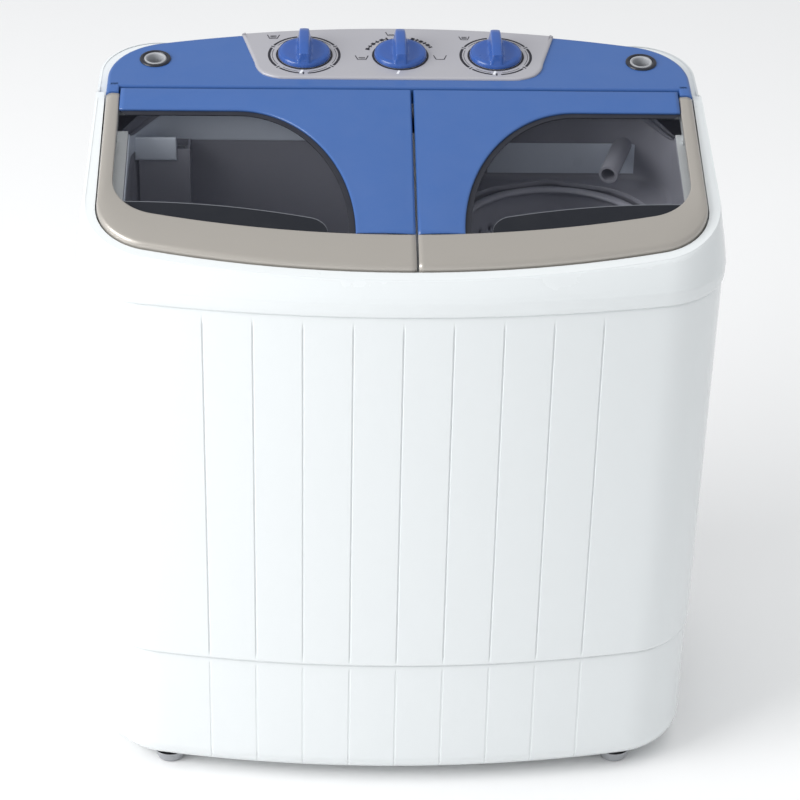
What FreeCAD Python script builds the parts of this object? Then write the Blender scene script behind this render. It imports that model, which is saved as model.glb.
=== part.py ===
import FreeCAD, Part
import math
import os

os.makedirs("parts", exist_ok=True)

V = FreeCAD.Vector
X_AXIS = V(1, 0, 0)
Y_AXIS = V(0, 1, 0)
Z_AXIS = V(0, 0, 1)
ORIGIN = V(0, 0, 0)

# ---- outer body: half widths, front and back faces at each level (mm) -------------------
BOW = 1165.0              # radius of the bowed front
CORNER_FRONT = 75.0
CORNER_BACK = 55.0
WALL = 3.0
Z_FOOT = 12.0             # underside of the base housing
Z_SEAM_BASE = 147.0       # joint between base housing and cabinet shell
Z_SEAM_RIM = 535.0        # joint between cabinet shell and top frame
BASE_ROLL = 24.0          # radius of the rolled bottom edge
BASE_HALF_W = 289.6
BASE_FRONT = -171.5
BASE_BACK = 179.5
CAB_HALF_W_LOW = 291.5
CAB_HALF_W_TOP = 293.5
CAB_FRONT_LOW = -174.5
CAB_FRONT_TOP = -182.0
CAB_BACK = 181.0

# ---- top frame sections: level, half width, front, back, front corner radius ------------
RIM_SECTIONS = (
    (535.0, 294.6, -183.6, 183.6, 75.0),
    (541.0, 295.0, -184.0, 184.0, 75.0),
    (549.0, 295.0, -184.0, 184.0, 75.0),
    (580.0, 290.0, -167.5, 183.0, 69.0),
    (665.0, 283.5, -128.0, 181.5, 60.0),
)
RIM_WALL = 3.5

# ---- sloping lid plane and console plane -----------------------------------------------
SEAM_Y = 70.0             # where the lids meet the console
SEAM_Z = 642.0
LID_TILT = 15.6
CONSOLE_TILT = 7.6
LID_SPLIT_X = 11.5
SPLIT_GAP = 2.0
SEAM_HALF_GAP = 1.2
LID_HALF_W = 276.0
LID_FRONT = -244.0        # front edge of the lids, measured down the slope from the seam
LID_BOW = 985.0
LID_CORNER = 58.0
TRIM_SIDE = 13.0          # width of the metallic trim along the side
TRIM_FRONT = 42.0         # and along the front
TRIM_INNER_CORNER = 48.0
TRIM_DEPTH = 14.0
TRIM_SKIRT = 3.0
TRIM_END = 11.0           # the trim stops this far in front of the seam
PLATE = 2.6               # thickness of lid panel, trim and pane
SEAM_CHAMFER = 2.0
LIP_UNDER_PANEL = 5.0
WINDOW_TOP = -33.0
WINDOW_CURVE_A = 109.0    # half axes of the elliptical edge of each window
WINDOW_CURVE_B = 168.0
WINDOW_CURVE_Y = -201.0
WINDOW_CURVE_X = (-152.0, 164.0)

# ---- hinge line of the lids, in the lid plane -----------------------------------------------
PIN_Y = -24.0
PIN_DROP = 7.0
PIN_R = 1.5
PIN_RUN = 0.05
LUG_HALF = 3.5
LUG_WIDTH = 6.0
EAR_WIDTH = 5.5
EAR_GAP = 0.7
HINGE_SWEEP = 24.6        # room that the lid's rear edge needs round the pins

# ---- frame ledge and tubs --------------------------------------------------------------
RIM_TOP_DROP = 6.0        # the white rim ends this far under the lids' top face
CONSOLE_RIM_DROP = 18.0
LID_RECESS_DROP = 15.0
CONSOLE_DEPTH = 27.0
LEDGE = 3.0
RECESS_GAP = 1.5
TUB_WALL = 2.5
TUB_FLANGE = 9.0
TUB_CORNER = 45.0
WASH_X = (-254.0, -8.0)
WASH_Y = (-128.0, 72.0)
WASH_FLOOR = 250.0
SPIN_X = (31.0, 258.0)
SPIN_Y = (-140.0, 72.0)
SPIN_DECK = 548.0
SPIN_CX = 145.0
SPIN_CY = -34.0
SPIN_TUB_R = 104.0
SPIN_TUB_FLOOR = 264.0
SPIN_MOUTH_R = 99.0

# ---- spin basket and drive -------------------------------------------------------------
BASKET_R = 95.0
BASKET_WALL = 2.0
BASKET_FLOOR = 292.0
BASKET_TOP = 545.0
BASKET_HOLES = 12
BASKET_ROWS = (330.0, 400.0, 470.0)
BASKET_HOLE_R = 3.0
SHAFT_R = 6.0
RUN = 0.05                # radial clearance of a shaft in its bearing

PULSATOR_R = 84.0
PULSATOR_Z = 254.0
PULSATOR_H = 14.0
WASH_CX = -131.0
WASH_CY = -28.0
PULLEY_Z = 130.0
PULLEY_H = 12.0
BIG_PULLEY_R = 65.0
SMALL_PULLEY_R = 16.0
MOTOR_X = -207.0
MOTOR_Y = 62.0
MOTOR_R = 47.0
BELT_T = 4.0

# ---- control panel ---------------------------------------------------------------------
CONSOLE_REAR = 108.0      # measured back from the seam, along the console plane
CONSOLE_BOW = 950.0
CONSOLE_CORNER = 62.0
CONSOLE_TOP = 3.0
FASCIA_T = 2.5
KNOB_X = (-90.5, 1.5, 93.0)
KNOB_Y = 55.0
KNOB_R = 25.0
KNOB_LIFT = 0.5
KNOB_DISC = 6.0
GRIP_W = 10.0
GRIP_H = 12.0
KNOB_SHAFT_R = 3.0
TIMER_BUSH_R = 5.0
INLET_X = 232.5
INLET_Y = 49.0
INLET_R = 8.0
INLET_SLEEVE_R = 10.0
INLET_FLANGE_R = 12.5
PIPE_DROP = 60.0
PIPE_R = 10.5
PIPE_BORE = 8.8

# ---- base housing: drain pocket, lead gland, bottom cover, feet -------------------------
POCKET_X = (170.0, 240.0)
POCKET_Z = (46.0, 108.0)
POCKET_DEPTH = 34.0
GLAND_X = -215.0
GLAND_Z = 90.0
GLAND_R = 9.0
COVER_X = (-250.0, -20.0)
COVER_Y = (-110.0, 60.0)
COLLAR_R = 14.0
SPIGOT_R = 12.5
SPIGOT_BORE = 10.0
FOOT_X = 222.0
FOOT_Y = (-122.0, 132.0)

# ---- back panel and hose hanger ---------------------------------------------------------
BACK_X = (-210.0, 210.0)
BACK_Z = (185.0, 470.0)
BACK_T = 1.5
BACK_LAP = 10.0
SCREW_R = 2.0
SCREW_HEAD_R = 4.5
HANGER_Y = (-12.0, 138.0)
HANGER_OUT = 304.0
HANGER_Z = (541.0, 552.0)

# ---- lint filter, overflow and drain valve ----------------------------------------------
HOUSING_X = (-246.0, -198.0)
HOUSING_Y = (46.0, 72.0)
HOUSING_Z = (330.0, 588.0)
HOUSING_WALL = 2.0
FILTER_GAP = 0.5
OVERFLOW_X = -190.0
OVERFLOW_Z = 500.0
OVERFLOW_R = 9.0
DRAIN_X = -40.0
DRAIN_Y = 50.0
DRAIN_R = 14.0
VALVE_X = 1.5
VALVE_Y = 128.0
VALVE_Z = (170.0, 226.0)
VALVE_R = 24.0
PLUG_R = 16.0
BELLOWS_Z = (180.0, 226.0)

# ---- motors, brake and spout ------------------------------------------------------------
BRACKET_Z = WASH_FLOOR - TUB_WALL - 3.0
BRACKET_HALF = 42.0
WASH_MOTOR_LOW = 152.0
SEAL_R = 18.0
SPIN_MOTOR_R = 58.0
SPIN_MOTOR_Z = (52.0, 150.0)
MOUNT_PCD = 48.0
BRAKE_Z = (168.0, 178.0)
BRAKE_R = 50.0
BRAKE_PIVOT = (SPIN_CX - 92.0, SPIN_CY - 40.0)
BRAKE_GAP = 4.6
BRAKE_PIN_R = 3.0
SPOUT_TIP = V(196.0, 20.0, 577.0)
SPOUT_R = 9.0
SPOUT_BORE = 6.5

# ---- control bodies under the console, and a length past everything ---------------------
TIMER_BOX = (48.0, 42.0, 30.0)
SELECTOR_BOX = (40.0, 30.0, 20.0)
FAR = 700.0


# ---- helpers ---------------------------------------------------------------------------
def save(name, shape):
    """Write one node."""
    shape.exportStep("parts/" + name + ".step")


def arc(p, q, r):
    """Circular edge through three points."""
    return Part.Arc(p, q, r).toShape()


def line(p, q):
    """Straight edge."""
    return Part.LineSegment(p, q).toShape()


def outline(half_w, y_front, y_back, bow, r_front, r_back, z=0.0):
    """Plan outline with a bowed front, straight sides and back, and tangent round corners."""
    bow_y = y_front + bow
    fx = half_w - r_front
    fy = bow_y - math.sqrt((bow - r_front) ** 2 - fx ** 2)
    k = bow / (bow - r_front)
    tx = fx * k
    ty = bow_y + (fy - bow_y) * k
    half = math.atan2(ty - fy, tx - fx) / 2.0
    mx = fx + r_front * math.cos(half)
    my = fy + r_front * math.sin(half)
    c45 = math.sqrt(0.5)
    edges = [
        arc(V(-tx, ty, z), V(0, y_front, z), V(tx, ty, z)),
        arc(V(tx, ty, z), V(mx, my, z), V(half_w, fy, z)),
    ]
    if r_back > 0:
        bx = half_w - r_back
        by = y_back - r_back
        edges += [
            line(V(half_w, fy, z), V(half_w, by, z)),
            arc(V(half_w, by, z), V(bx + r_back * c45, by + r_back * c45, z), V(bx, y_back, z)),
            line(V(bx, y_back, z), V(-bx, y_back, z)),
            arc(V(-bx, y_back, z), V(-bx - r_back * c45, by + r_back * c45, z), V(-half_w, by, z)),
            line(V(-half_w, by, z), V(-half_w, fy, z)),
        ]
    else:
        edges += [
            line(V(half_w, fy, z), V(half_w, y_back, z)),
            line(V(half_w, y_back, z), V(-half_w, y_back, z)),
            line(V(-half_w, y_back, z), V(-half_w, fy, z)),
        ]
    edges.append(arc(V(-half_w, fy, z), V(-mx, my, z), V(-tx, ty, z)))
    return Part.Wire(edges)


def round_rect(xs, ys, r, z=0.0):
    """Rectangle with round corners."""
    x0, x1 = xs
    y0, y1 = ys
    d = r * (1.0 - math.sqrt(0.5))
    return Part.Wire([
        line(V(x0 + r, y0, z), V(x1 - r, y0, z)),
        arc(V(x1 - r, y0, z), V(x1 - d, y0 + d, z), V(x1, y0 + r, z)),
        line(V(x1, y0 + r, z), V(x1, y1 - r, z)),
        arc(V(x1, y1 - r, z), V(x1 - d, y1 - d, z), V(x1 - r, y1, z)),
        line(V(x1 - r, y1, z), V(x0 + r, y1, z)),
        arc(V(x0 + r, y1, z), V(x0 + d, y1 - d, z), V(x0, y1 - r, z)),
        line(V(x0, y1 - r, z), V(x0, y0 + r, z)),
        arc(V(x0, y0 + r, z), V(x0 + d, y0 + d, z), V(x0 + r, y0, z)),
    ])


def grow(span, d):
    """Widen a (low, high) span by d at both ends."""
    return (span[0] - d, span[1] + d)


def prism(wire, height):
    """Extrude a closed wire upwards."""
    return Part.Face(wire).extrude(V(0, 0, height))


def loft(wires):
    """Ruled solid through closed wires."""
    return Part.makeLoft(wires, True, True)


def block(xs, ys, zs):
    """Box from three spans."""
    return Part.makeBox(xs[1] - xs[0], ys[1] - ys[0], zs[1] - zs[0], V(xs[0], ys[0], zs[0]))


def rod(r, p, q):
    """Cylinder from p to q."""
    d = q.sub(p)
    return Part.makeCylinder(r, d.Length, p, d)


def tube(r_out, r_in, z0, z1, x, y):
    """Upright round tube."""
    outer = rod(r_out, V(x, y, z0), V(x, y, z1))
    return outer.cut(rod(r_in, V(x, y, z0 - 1), V(x, y, z1 + 1)))


def fused(shapes):
    """Join shapes into one and drop the seams between them."""
    return shapes[0].multiFuse(shapes[1:]).removeSplitter()


def on_lid(shape):
    """Move a shape drawn flat at the seam onto the lid plane."""
    s = shape.copy()
    s.rotate(ORIGIN, X_AXIS, LID_TILT)
    s.translate(V(0, SEAM_Y, SEAM_Z))
    return s


def on_console(shape):
    """Move a shape drawn flat at the seam onto the console plane."""
    s = shape.copy()
    s.rotate(ORIGIN, X_AXIS, CONSOLE_TILT)
    s.translate(V(0, SEAM_Y, SEAM_Z))
    return s


def lid_slab(t0, t1):
    """Everything between two heights over the lid plane."""
    return on_lid(block((-FAR, FAR), (-FAR, FAR), (t0, t1)))


def console_slab(t0, t1):
    """Everything between two heights over the console plane."""
    return on_console(block((-FAR, FAR), (-FAR, FAR), (t0, t1)))


FRONT_HALF = block((-FAR, FAR), (-FAR, SEAM_Y), (0, 2 * FAR))
REAR_HALF = block((-FAR, FAR), (SEAM_Y, FAR), (0, 2 * FAR))


def above(lid_t, console_t):
    """All that lies over the two sloping planes, each lowered by its own amount."""
    front = lid_slab(lid_t, FAR).common(FRONT_HALF)
    rear = console_slab(console_t, FAR).common(REAR_HALF)
    return front.fuse(rear)


def hinge_room():
    """Space that the rear edges of the lids sweep when they open."""
    reach = LID_HALF_W + RECESS_GAP
    return on_lid(rod(HINGE_SWEEP, V(-reach, PIN_Y, -PIN_DROP), V(reach, PIN_Y, -PIN_DROP)))


# ---- body ------------------------------------------------------------------------------
def base_section(inset, z):
    return outline(BASE_HALF_W - inset, BASE_FRONT + inset, BASE_BACK - inset, BOW,
                   CORNER_FRONT - inset, CORNER_BACK - inset, z)


def base_solid(inset, z_low, z_high):
    """Solid with a rolled bottom edge."""
    wires = []
    roll_steps = 5
    for i in range(roll_steps + 1):
        a = math.radians(90.0 * i / roll_steps)
        tuck = inset + BASE_ROLL * (1 - math.sin(a))
        wires.append(base_section(tuck, z_low + BASE_ROLL * (1 - math.cos(a))))
    wires.append(base_section(inset, z_high))
    return loft(wires)


def base_housing():
    shell = base_solid(0.0, Z_FOOT, Z_SEAM_BASE).cut(base_solid(WALL, Z_FOOT + WALL, Z_SEAM_BASE + 1))
    pocket_y = (BASE_BACK - POCKET_DEPTH, BASE_BACK + 5)
    wall_y = (pocket_y[0] - WALL, BASE_BACK - 1)
    shell = shell.fuse(block(grow(POCKET_X, WALL), wall_y, grow(POCKET_Z, WALL)))
    shell = shell.cut(block(POCKET_X, pocket_y, POCKET_Z))
    shell = shell.cut(block(COVER_X, COVER_Y, (0, Z_FOOT + WALL + 1)))
    spigot_x = sum(POCKET_X) / 2.0
    spigot_z = sum(POCKET_Z) / 2.0
    shell = shell.cut(rod(COLLAR_R, V(spigot_x, 100, spigot_z), V(spigot_x, 160, spigot_z)))
    shell = shell.cut(rod(GLAND_R, V(GLAND_X, 160, GLAND_Z), V(GLAND_X, 190, GLAND_Z)))
    return shell.removeSplitter()


def drain_outlet():
    """Spigot for the drain hose, standing in the pocket at the back."""
    x = sum(POCKET_X) / 2.0
    z = sum(POCKET_Z) / 2.0
    y_in = BASE_BACK - POCKET_DEPTH - WALL - 12.0
    wall_face = BASE_BACK - POCKET_DEPTH
    tail = BASE_BACK - 6.0
    collar = rod(COLLAR_R, V(x, y_in, z), V(x, wall_face, z))
    body = rod(SPIGOT_R, V(x, wall_face, z), V(x, tail, z))
    return fused([collar, body]).cut(rod(SPIGOT_BORE, V(x, y_in - 1, z), V(x, tail + 1, z)))


def bottom_cover():
    """Slotted plate that closes the floor under the wash motor."""
    plate = block(COVER_X, COVER_Y, (Z_FOOT, Z_FOOT + WALL))
    slot_pitch = 22.0
    slot_w = 5.0
    slot_margin = 25.0
    count = int((COVER_X[1] - COVER_X[0] - 2 * slot_margin) / slot_pitch) + 1
    for i in range(count):
        x = COVER_X[0] + slot_margin + i * slot_pitch
        plate = plate.cut(block((x, x + slot_w), (COVER_Y[0] + 20, COVER_Y[0] + 70), (0, 30)))
    return plate


def feet():
    """Four tapered rubber feet under the base."""
    pieces = []
    for x in (-FOOT_X, FOOT_X):
        for y in FOOT_Y:
            pieces.append(Part.makeCone(13.0, 17.0, Z_FOOT, V(x, y, 0), Z_AXIS))
    return Part.makeCompound(pieces)


def cabinet_section(inset, share, z):
    """Cabinet outline at a share of the way from its lower to its upper edge."""
    half_w = CAB_HALF_W_LOW + share * (CAB_HALF_W_TOP - CAB_HALF_W_LOW)
    front = CAB_FRONT_LOW + share * (CAB_FRONT_TOP - CAB_FRONT_LOW)
    return outline(half_w - inset, front + inset, CAB_BACK - inset, BOW,
                   CORNER_FRONT - inset, CORNER_BACK - inset, z)


def screw_spots():
    """Centres of the screws round the back panel."""
    spots = []
    for x in (BACK_X[0] - 5, 0.0, BACK_X[1] + 5):
        for z in (BACK_Z[0] - 5, BACK_Z[1] + 5):
            spots.append((x, z))
    return spots


def groove_cutters():
    """Fine upright grooves in the front, square to the drafted face."""
    cutters = []
    pitch = 44.8
    half = 1.2
    depth = 1.0
    for i in range(-4, 5):
        x = i * pitch
        sag = BOW - math.sqrt(BOW ** 2 - x ** 2)
        low = CAB_FRONT_LOW + sag
        top = CAB_FRONT_TOP + sag
        wires = []
        for y, z in ((low, Z_SEAM_BASE + 8.0), (top, Z_SEAM_RIM - 8.0)):
            start = V(x - half, y - 0.5, z)
            wires.append(Part.makePolygon([start, V(x + half, y - 0.5, z), V(x, y + depth, z), start]))
        cutters.append(loft(wires))
    return cutters


def cabinet_shell():
    outer = loft([cabinet_section(0, 0, Z_SEAM_BASE), cabinet_section(0, 1, Z_SEAM_RIM)])
    inner = loft([cabinet_section(WALL, 0, Z_SEAM_BASE), cabinet_section(WALL, 1, Z_SEAM_RIM)])
    shell = outer.cut(inner)
    shell = shell.cut(block(BACK_X, (150, 200), BACK_Z))
    for x, z in screw_spots():
        shell = shell.cut(rod(SCREW_R, V(x, 150, z), V(x, 200, z)))
    return shell.cut(groove_cutters())


def back_panel():
    """Steel service cover screwed on behind."""
    panel = block(grow(BACK_X, BACK_LAP), (CAB_BACK, CAB_BACK + BACK_T), grow(BACK_Z, BACK_LAP))
    for x, z in screw_spots():
        panel = panel.cut(rod(SCREW_R, V(x, 150, z), V(x, 200, z)))
    louvre_count = 6
    for i in range(louvre_count):
        z = BACK_Z[0] + 30 + i * 12.0
        panel = panel.cut(block((-160, -60), (150, 200), (z, z + 4)))
    return panel


def back_panel_screws():
    pieces = []
    face = CAB_BACK + BACK_T
    for x, z in screw_spots():
        shank = rod(SCREW_R, V(x, face - 8, z), V(x, face, z))
        head = Part.makeCone(SCREW_HEAD_R, SCREW_HEAD_R - 1.2, 1.2, V(x, face, z), Y_AXIS)
        pieces.append(shank.fuse(head).removeSplitter())
    return Part.makeCompound(pieces)


def rim_loft(inset):
    wires = []
    for z, half_w, front, back, corner in RIM_SECTIONS:
        wires.append(outline(half_w - inset, front + inset, back - inset, BOW,
                             corner - inset, CORNER_BACK - inset, z))
    return loft(wires)


def lid_recess(gap, t_low):
    """Space for both lids, drawn on the lid plane."""
    flat = prism(outline(LID_HALF_W + gap, LID_FRONT - gap, 6.0, LID_BOW, LID_CORNER + gap, 0), 60.0)
    flat.translate(V(0, 0, t_low))
    return on_lid(flat)


def console_plan(gap):
    """Console outline drawn flat: straight front at the seam, bowed rear."""
    wire = outline(LID_HALF_W + gap, -CONSOLE_REAR - gap, -SEAM_HALF_GAP, CONSOLE_BOW,
                   CONSOLE_CORNER + gap, 0)
    wire.rotate(ORIGIN, Z_AXIS, 180)
    return wire


def mouth(xs, ys, z_low, z_high):
    return prism(round_rect(xs, ys, TUB_CORNER, z_low), z_high - z_low)


def ear_spans():
    """Where the four hinge ears stand along the hinge line, with the lug beside each."""
    out = LID_HALF_W - TRIM_SIDE + 0.2
    spans = [
        (-out - EAR_WIDTH, -out, 1),
        (LID_SPLIT_X - 12.0 - EAR_WIDTH, LID_SPLIT_X - 12.0, -1),
        (LID_SPLIT_X + 12.0, LID_SPLIT_X + 12.0 + EAR_WIDTH, 1),
        (out, out + EAR_WIDTH, -1),
    ]
    return spans


def hinge_ear(x0, x1):
    """Arm that comes from the ledge in front and carries one hinge pin."""
    top = -PIN_DROP + LUG_HALF
    eye = rod(LUG_HALF + 0.3, V(x0, PIN_Y, -PIN_DROP), V(x1, PIN_Y, -PIN_DROP))
    arm = block((x0, x1), (-62.0, PIN_Y), (-PIN_DROP - 5.0, -PIN_DROP + 0.5))
    post = block((x0, x1), (-62.0, -50.0), (-LID_RECESS_DROP - 0.5, -PIN_DROP + 0.5))
    ear = fused([eye, arm, post])
    ear = ear.cut(block((x0, x1), (-FAR, FAR), (top, FAR)))
    return ear.cut(rod(PIN_R + PIN_RUN, V(x0 - 1, PIN_Y, -PIN_DROP), V(x1 + 1, PIN_Y, -PIN_DROP)))


def top_frame():
    body = rim_loft(0.0).cut(above(-RIM_TOP_DROP, -CONSOLE_RIM_DROP))
    hollow = rim_loft(RIM_WALL)
    hollow = hollow.cut(above(-LID_RECESS_DROP - LEDGE, -CONSOLE_DEPTH - LEDGE))
    body = body.cut(hollow)
    body = body.cut(lid_recess(RECESS_GAP, -LID_RECESS_DROP))
    console_room = prism(console_plan(0.3), 80.0)
    console_room.translate(V(0, 0, -CONSOLE_DEPTH))
    wings = console_wings(0.3, -CONSOLE_DEPTH, 80.0 - CONSOLE_DEPTH)
    body = body.cut([on_console(console_room)] + [on_console(w) for w in wings])
    body = body.cut(mouth(WASH_X, WASH_Y, Z_SEAM_RIM, 700))
    body = body.cut(mouth(SPIN_X, SPIN_Y, Z_SEAM_RIM, 700))
    body = body.cut(hinge_room())
    for x0, x1, side in ear_spans():
        body = body.fuse(on_lid(hinge_ear(x0, x1)))
    service = on_console(block((-200.0, 200.0), (18.0, 88.0), (-60.0, -10.0)))
    body = body.cut(service)
    for x in (-INLET_X, INLET_X):
        body = body.cut(on_console(rod(INLET_SLEEVE_R + 2.0, V(x, INLET_Y, -60), V(x, INLET_Y, -10))))
    return body.removeSplitter()


def hose_hanger():
    """Half-moon ledge on the right side that the drain hose hooks over."""
    y0, y1 = HANGER_Y
    mid = (y0 + y1) / 2.0
    x_in = 288.0
    edge = HANGER_OUT - 9.5
    wire = Part.Wire([
        line(V(x_in, y0, HANGER_Z[0]), V(x_in, y1, HANGER_Z[0])),
        line(V(x_in, y1, HANGER_Z[0]), V(edge, y1, HANGER_Z[0])),
        arc(V(edge, y1, HANGER_Z[0]), V(HANGER_OUT, mid, HANGER_Z[0]), V(edge, y0, HANGER_Z[0])),
        line(V(edge, y0, HANGER_Z[0]), V(x_in, y0, HANGER_Z[0])),
    ])
    moon = prism(wire, HANGER_Z[1] - HANGER_Z[0])
    moon = moon.cut(rim_loft(0.0))
    return moon


# ---- tubs ------------------------------------------------------------------------------
def tub_flange(xs, ys):
    slab = lid_slab(-LID_RECESS_DROP - LEDGE - TUB_WALL, -LID_RECESS_DROP - LEDGE)
    ring = mouth(grow(xs, TUB_FLANGE), grow(ys, TUB_FLANGE), Z_SEAM_RIM, 700)
    return ring.common(slab).common(FRONT_HALF)


def wash_tub():
    top = above(-LID_RECESS_DROP - LEDGE, -CONSOLE_DEPTH - LEDGE)
    outer = prism(round_rect(grow(WASH_X, TUB_WALL), grow(WASH_Y, TUB_WALL), TUB_CORNER + TUB_WALL,
                             WASH_FLOOR - TUB_WALL), 450.0)
    tub = outer.cut(top).fuse(tub_flange(WASH_X, WASH_Y))
    tub = tub.cut(mouth(WASH_X, WASH_Y, WASH_FLOOR, 720))
    tub = tub.cut(hinge_room())
    tub = tub.cut(rod(15.0, V(WASH_CX, WASH_CY, 200), V(WASH_CX, WASH_CY, 260)))
    tub = tub.cut(wash_pipe_core())
    drain = rod(DRAIN_R, V(DRAIN_X, DRAIN_Y, 200), V(DRAIN_X, DRAIN_Y, 260))
    bore = OVERFLOW_R - 1.8
    overflow = rod(bore, V(OVERFLOW_X, WASH_Y[1] - 5, OVERFLOW_Z), V(OVERFLOW_X, WASH_Y[1] + 5, OVERFLOW_Z))
    return tub.cut([drain, overflow]).removeSplitter()


def spin_outer_tub():
    top = above(-LID_RECESS_DROP - LEDGE, -CONSOLE_DEPTH - LEDGE)
    outer = prism(round_rect(grow(SPIN_X, TUB_WALL), grow(SPIN_Y, TUB_WALL), TUB_CORNER + TUB_WALL,
                             SPIN_DECK - TUB_WALL), 150.0)
    tub = outer.cut(top).fuse(tub_flange(SPIN_X, SPIN_Y))
    tub = tub.cut(mouth(SPIN_X, SPIN_Y, SPIN_DECK, 720))
    axis = V(SPIN_CX, SPIN_CY, 0)
    well_floor = SPIN_TUB_FLOOR - TUB_WALL
    tub = tub.fuse(rod(SPIN_TUB_R + TUB_WALL, axis + V(0, 0, well_floor), axis + V(0, 0, SPIN_DECK)))
    tub = tub.cut(rod(SPIN_TUB_R, axis + V(0, 0, SPIN_TUB_FLOOR), axis + V(0, 0, SPIN_DECK - TUB_WALL)))
    tub = tub.cut(rod(SPIN_MOUTH_R, axis + V(0, 0, SPIN_DECK - 5), axis + V(0, 0, SPIN_DECK + 5)))
    tub = tub.cut(rod(SEAL_R, axis + V(0, 0, 200), axis + V(0, 0, 280)))
    return tub.cut([spout_core(), hinge_room()]).removeSplitter()


def corner_block(inset, z0, z1):
    """Upright block in the tub's rear left corner, following its round corner."""
    full = block(grow(HOUSING_X, -inset), grow(HOUSING_Y, -inset), (z0, z1))
    room = prism(round_rect(grow(WASH_X, -inset), grow(WASH_Y, -inset), TUB_CORNER - inset, z0), z1 - z0)
    return full.common(room)


def lint_filter_housing():
    """Channel in the rear left corner of the wash tub that the lint filter drops into."""
    box = corner_block(0.0, HOUSING_Z[0], HOUSING_Z[1])
    box = box.cut(corner_block(HOUSING_WALL, HOUSING_Z[0] + HOUSING_WALL, HOUSING_Z[1] + 1))
    return box.cut(block((-228.0, -208.0), (HOUSING_Y[0] - 5, HOUSING_Y[0] + 10), (350.0, 440.0)))


def lint_filter():
    """Framed filter with a finger tab."""
    fit = HOUSING_WALL + FILTER_GAP
    low = HOUSING_Z[0] + HOUSING_WALL
    top = HOUSING_Z[1] - 6.0
    rail = 3.0
    frame = corner_block(fit, low, top).cut(corner_block(fit + rail, low + rail, top + 1))
    front = HOUSING_Y[0] + fit
    frame = frame.cut(block((-226.0, -210.0), (front - 5, front + 5), (355.0, 435.0)))
    tab = block((-222.0, -214.0), grow(HOUSING_Y, -fit), (top - 6.0, top))
    return frame.fuse(tab.common(corner_block(fit, low, top))).removeSplitter()


def bent_pipe(points, r):
    """Round pipe through points, with a ball at each elbow."""
    pieces = []
    for p, q in zip(points[:-1], points[1:]):
        pieces.append(rod(r, p, q))
    for p in points[1:-1]:
        pieces.append(Part.makeSphere(r, p))
    return fused(pieces)


def overflow_pipe():
    """From the lint filter channel down behind the tub to the drain valve."""
    x = OVERFLOW_X
    tub_back = WASH_Y[1] + TUB_WALL
    low = 212.0
    route = [V(x, tub_back, OVERFLOW_Z), V(x, VALVE_Y, OVERFLOW_Z)]
    route += [V(x, VALVE_Y, low), V(VALVE_X - 20.0, VALVE_Y, low)]
    ends = [route[0].sub(V(0, 1, 0))] + route[1:-1] + [route[-1].add(V(5, 0, 0))]
    pipe = bent_pipe(route, OVERFLOW_R).cut(bent_pipe(ends, OVERFLOW_R - 1.8))
    return pipe.cut(rod(VALVE_R, V(VALVE_X, VALVE_Y, 100), V(VALVE_X, VALVE_Y, 300)))


def drain_valve_body():
    """Round chamber with a seat, fed from the wash tub's floor."""
    body = rod(VALVE_R, V(VALVE_X, VALVE_Y, VALVE_Z[0]), V(VALVE_X, VALVE_Y, VALVE_Z[1]))
    feed_z = WASH_FLOOR - TUB_WALL
    neck_z = 200.0
    route = [V(DRAIN_X, DRAIN_Y, feed_z), V(DRAIN_X, DRAIN_Y, neck_z), V(VALVE_X, VALVE_Y, neck_z)]
    body = body.fuse(bent_pipe(route, DRAIN_R + 2.0))
    core = bent_pipe([route[0].add(V(0, 0, 1))] + route[1:], DRAIN_R)
    chamber = rod(VALVE_R - 2.5, V(VALVE_X, VALVE_Y, VALVE_Z[0] + 3), V(VALVE_X, VALVE_Y, VALVE_Z[1] + 1))
    body = body.cut(core.common(block((-FAR, FAR), (-FAR, FAR), (0, feed_z + 1)))).cut(chamber)
    outlet = rod(9.0, V(VALVE_X, VALVE_Y, VALVE_Z[0] - 1), V(VALVE_X, VALVE_Y, VALVE_Z[0] + 4))
    return body.cut(outlet).removeSplitter()


def drain_plug():
    """Rubber-faced plug on the pull rod that the program selector lifts."""
    z = VALVE_Z[0] + 3.0
    disc = Part.makeCone(PLUG_R - 2.0, PLUG_R, 6.0, V(VALVE_X, VALVE_Y, z + 0.3), Z_AXIS)
    stem = rod(3.0, V(VALVE_X, VALVE_Y, z), V(VALVE_X, VALVE_Y, 585.0))
    eye = block((VALVE_X - 8, VALVE_X + 8), (VALVE_Y - 2, VALVE_Y + 2), (578.0, 590.0))
    return fused([disc, stem, eye])


def valve_bellows():
    """Pleated sleeve that closes the valve chamber round the pull rod."""
    pleats = 5
    r_in = 5.0
    r_low = 8.0
    r_high = 13.0
    z0, z1 = BELLOWS_Z
    pitch = (z1 - z0) / pleats
    pts = [V(r_in, 0, z0), V(r_low, 0, z0)]
    for i in range(pleats):
        pts.append(V(r_high, 0, z0 + (i + 0.5) * pitch))
        pts.append(V(r_low, 0, z0 + (i + 1) * pitch))
    pts.append(V(r_in, 0, z1))
    pts.append(pts[0])
    ring = Part.Face(Part.makePolygon(pts)).revolve(ORIGIN, Z_AXIS, 360)
    ring.translate(V(VALVE_X, VALVE_Y, 0))
    return ring


def drain_pipe():
    """From the valve to the outlet spigot at the back."""
    x = sum(POCKET_X) / 2.0
    z = sum(POCKET_Z) / 2.0
    y_in = BASE_BACK - POCKET_DEPTH - WALL - 12.0
    start = V(VALVE_X, VALVE_Y, VALVE_Z[0])
    route = [start, V(VALVE_X, VALVE_Y, z), V(x, VALVE_Y - 20.0, z), V(x, y_in, z)]
    pipe = bent_pipe(route, 11.0)
    ends = [route[0].add(V(0, 0, 1)), route[1], route[2], route[3].add(V(0, 1, 0))]
    return pipe.cut(bent_pipe(ends, 9.0))


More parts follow.
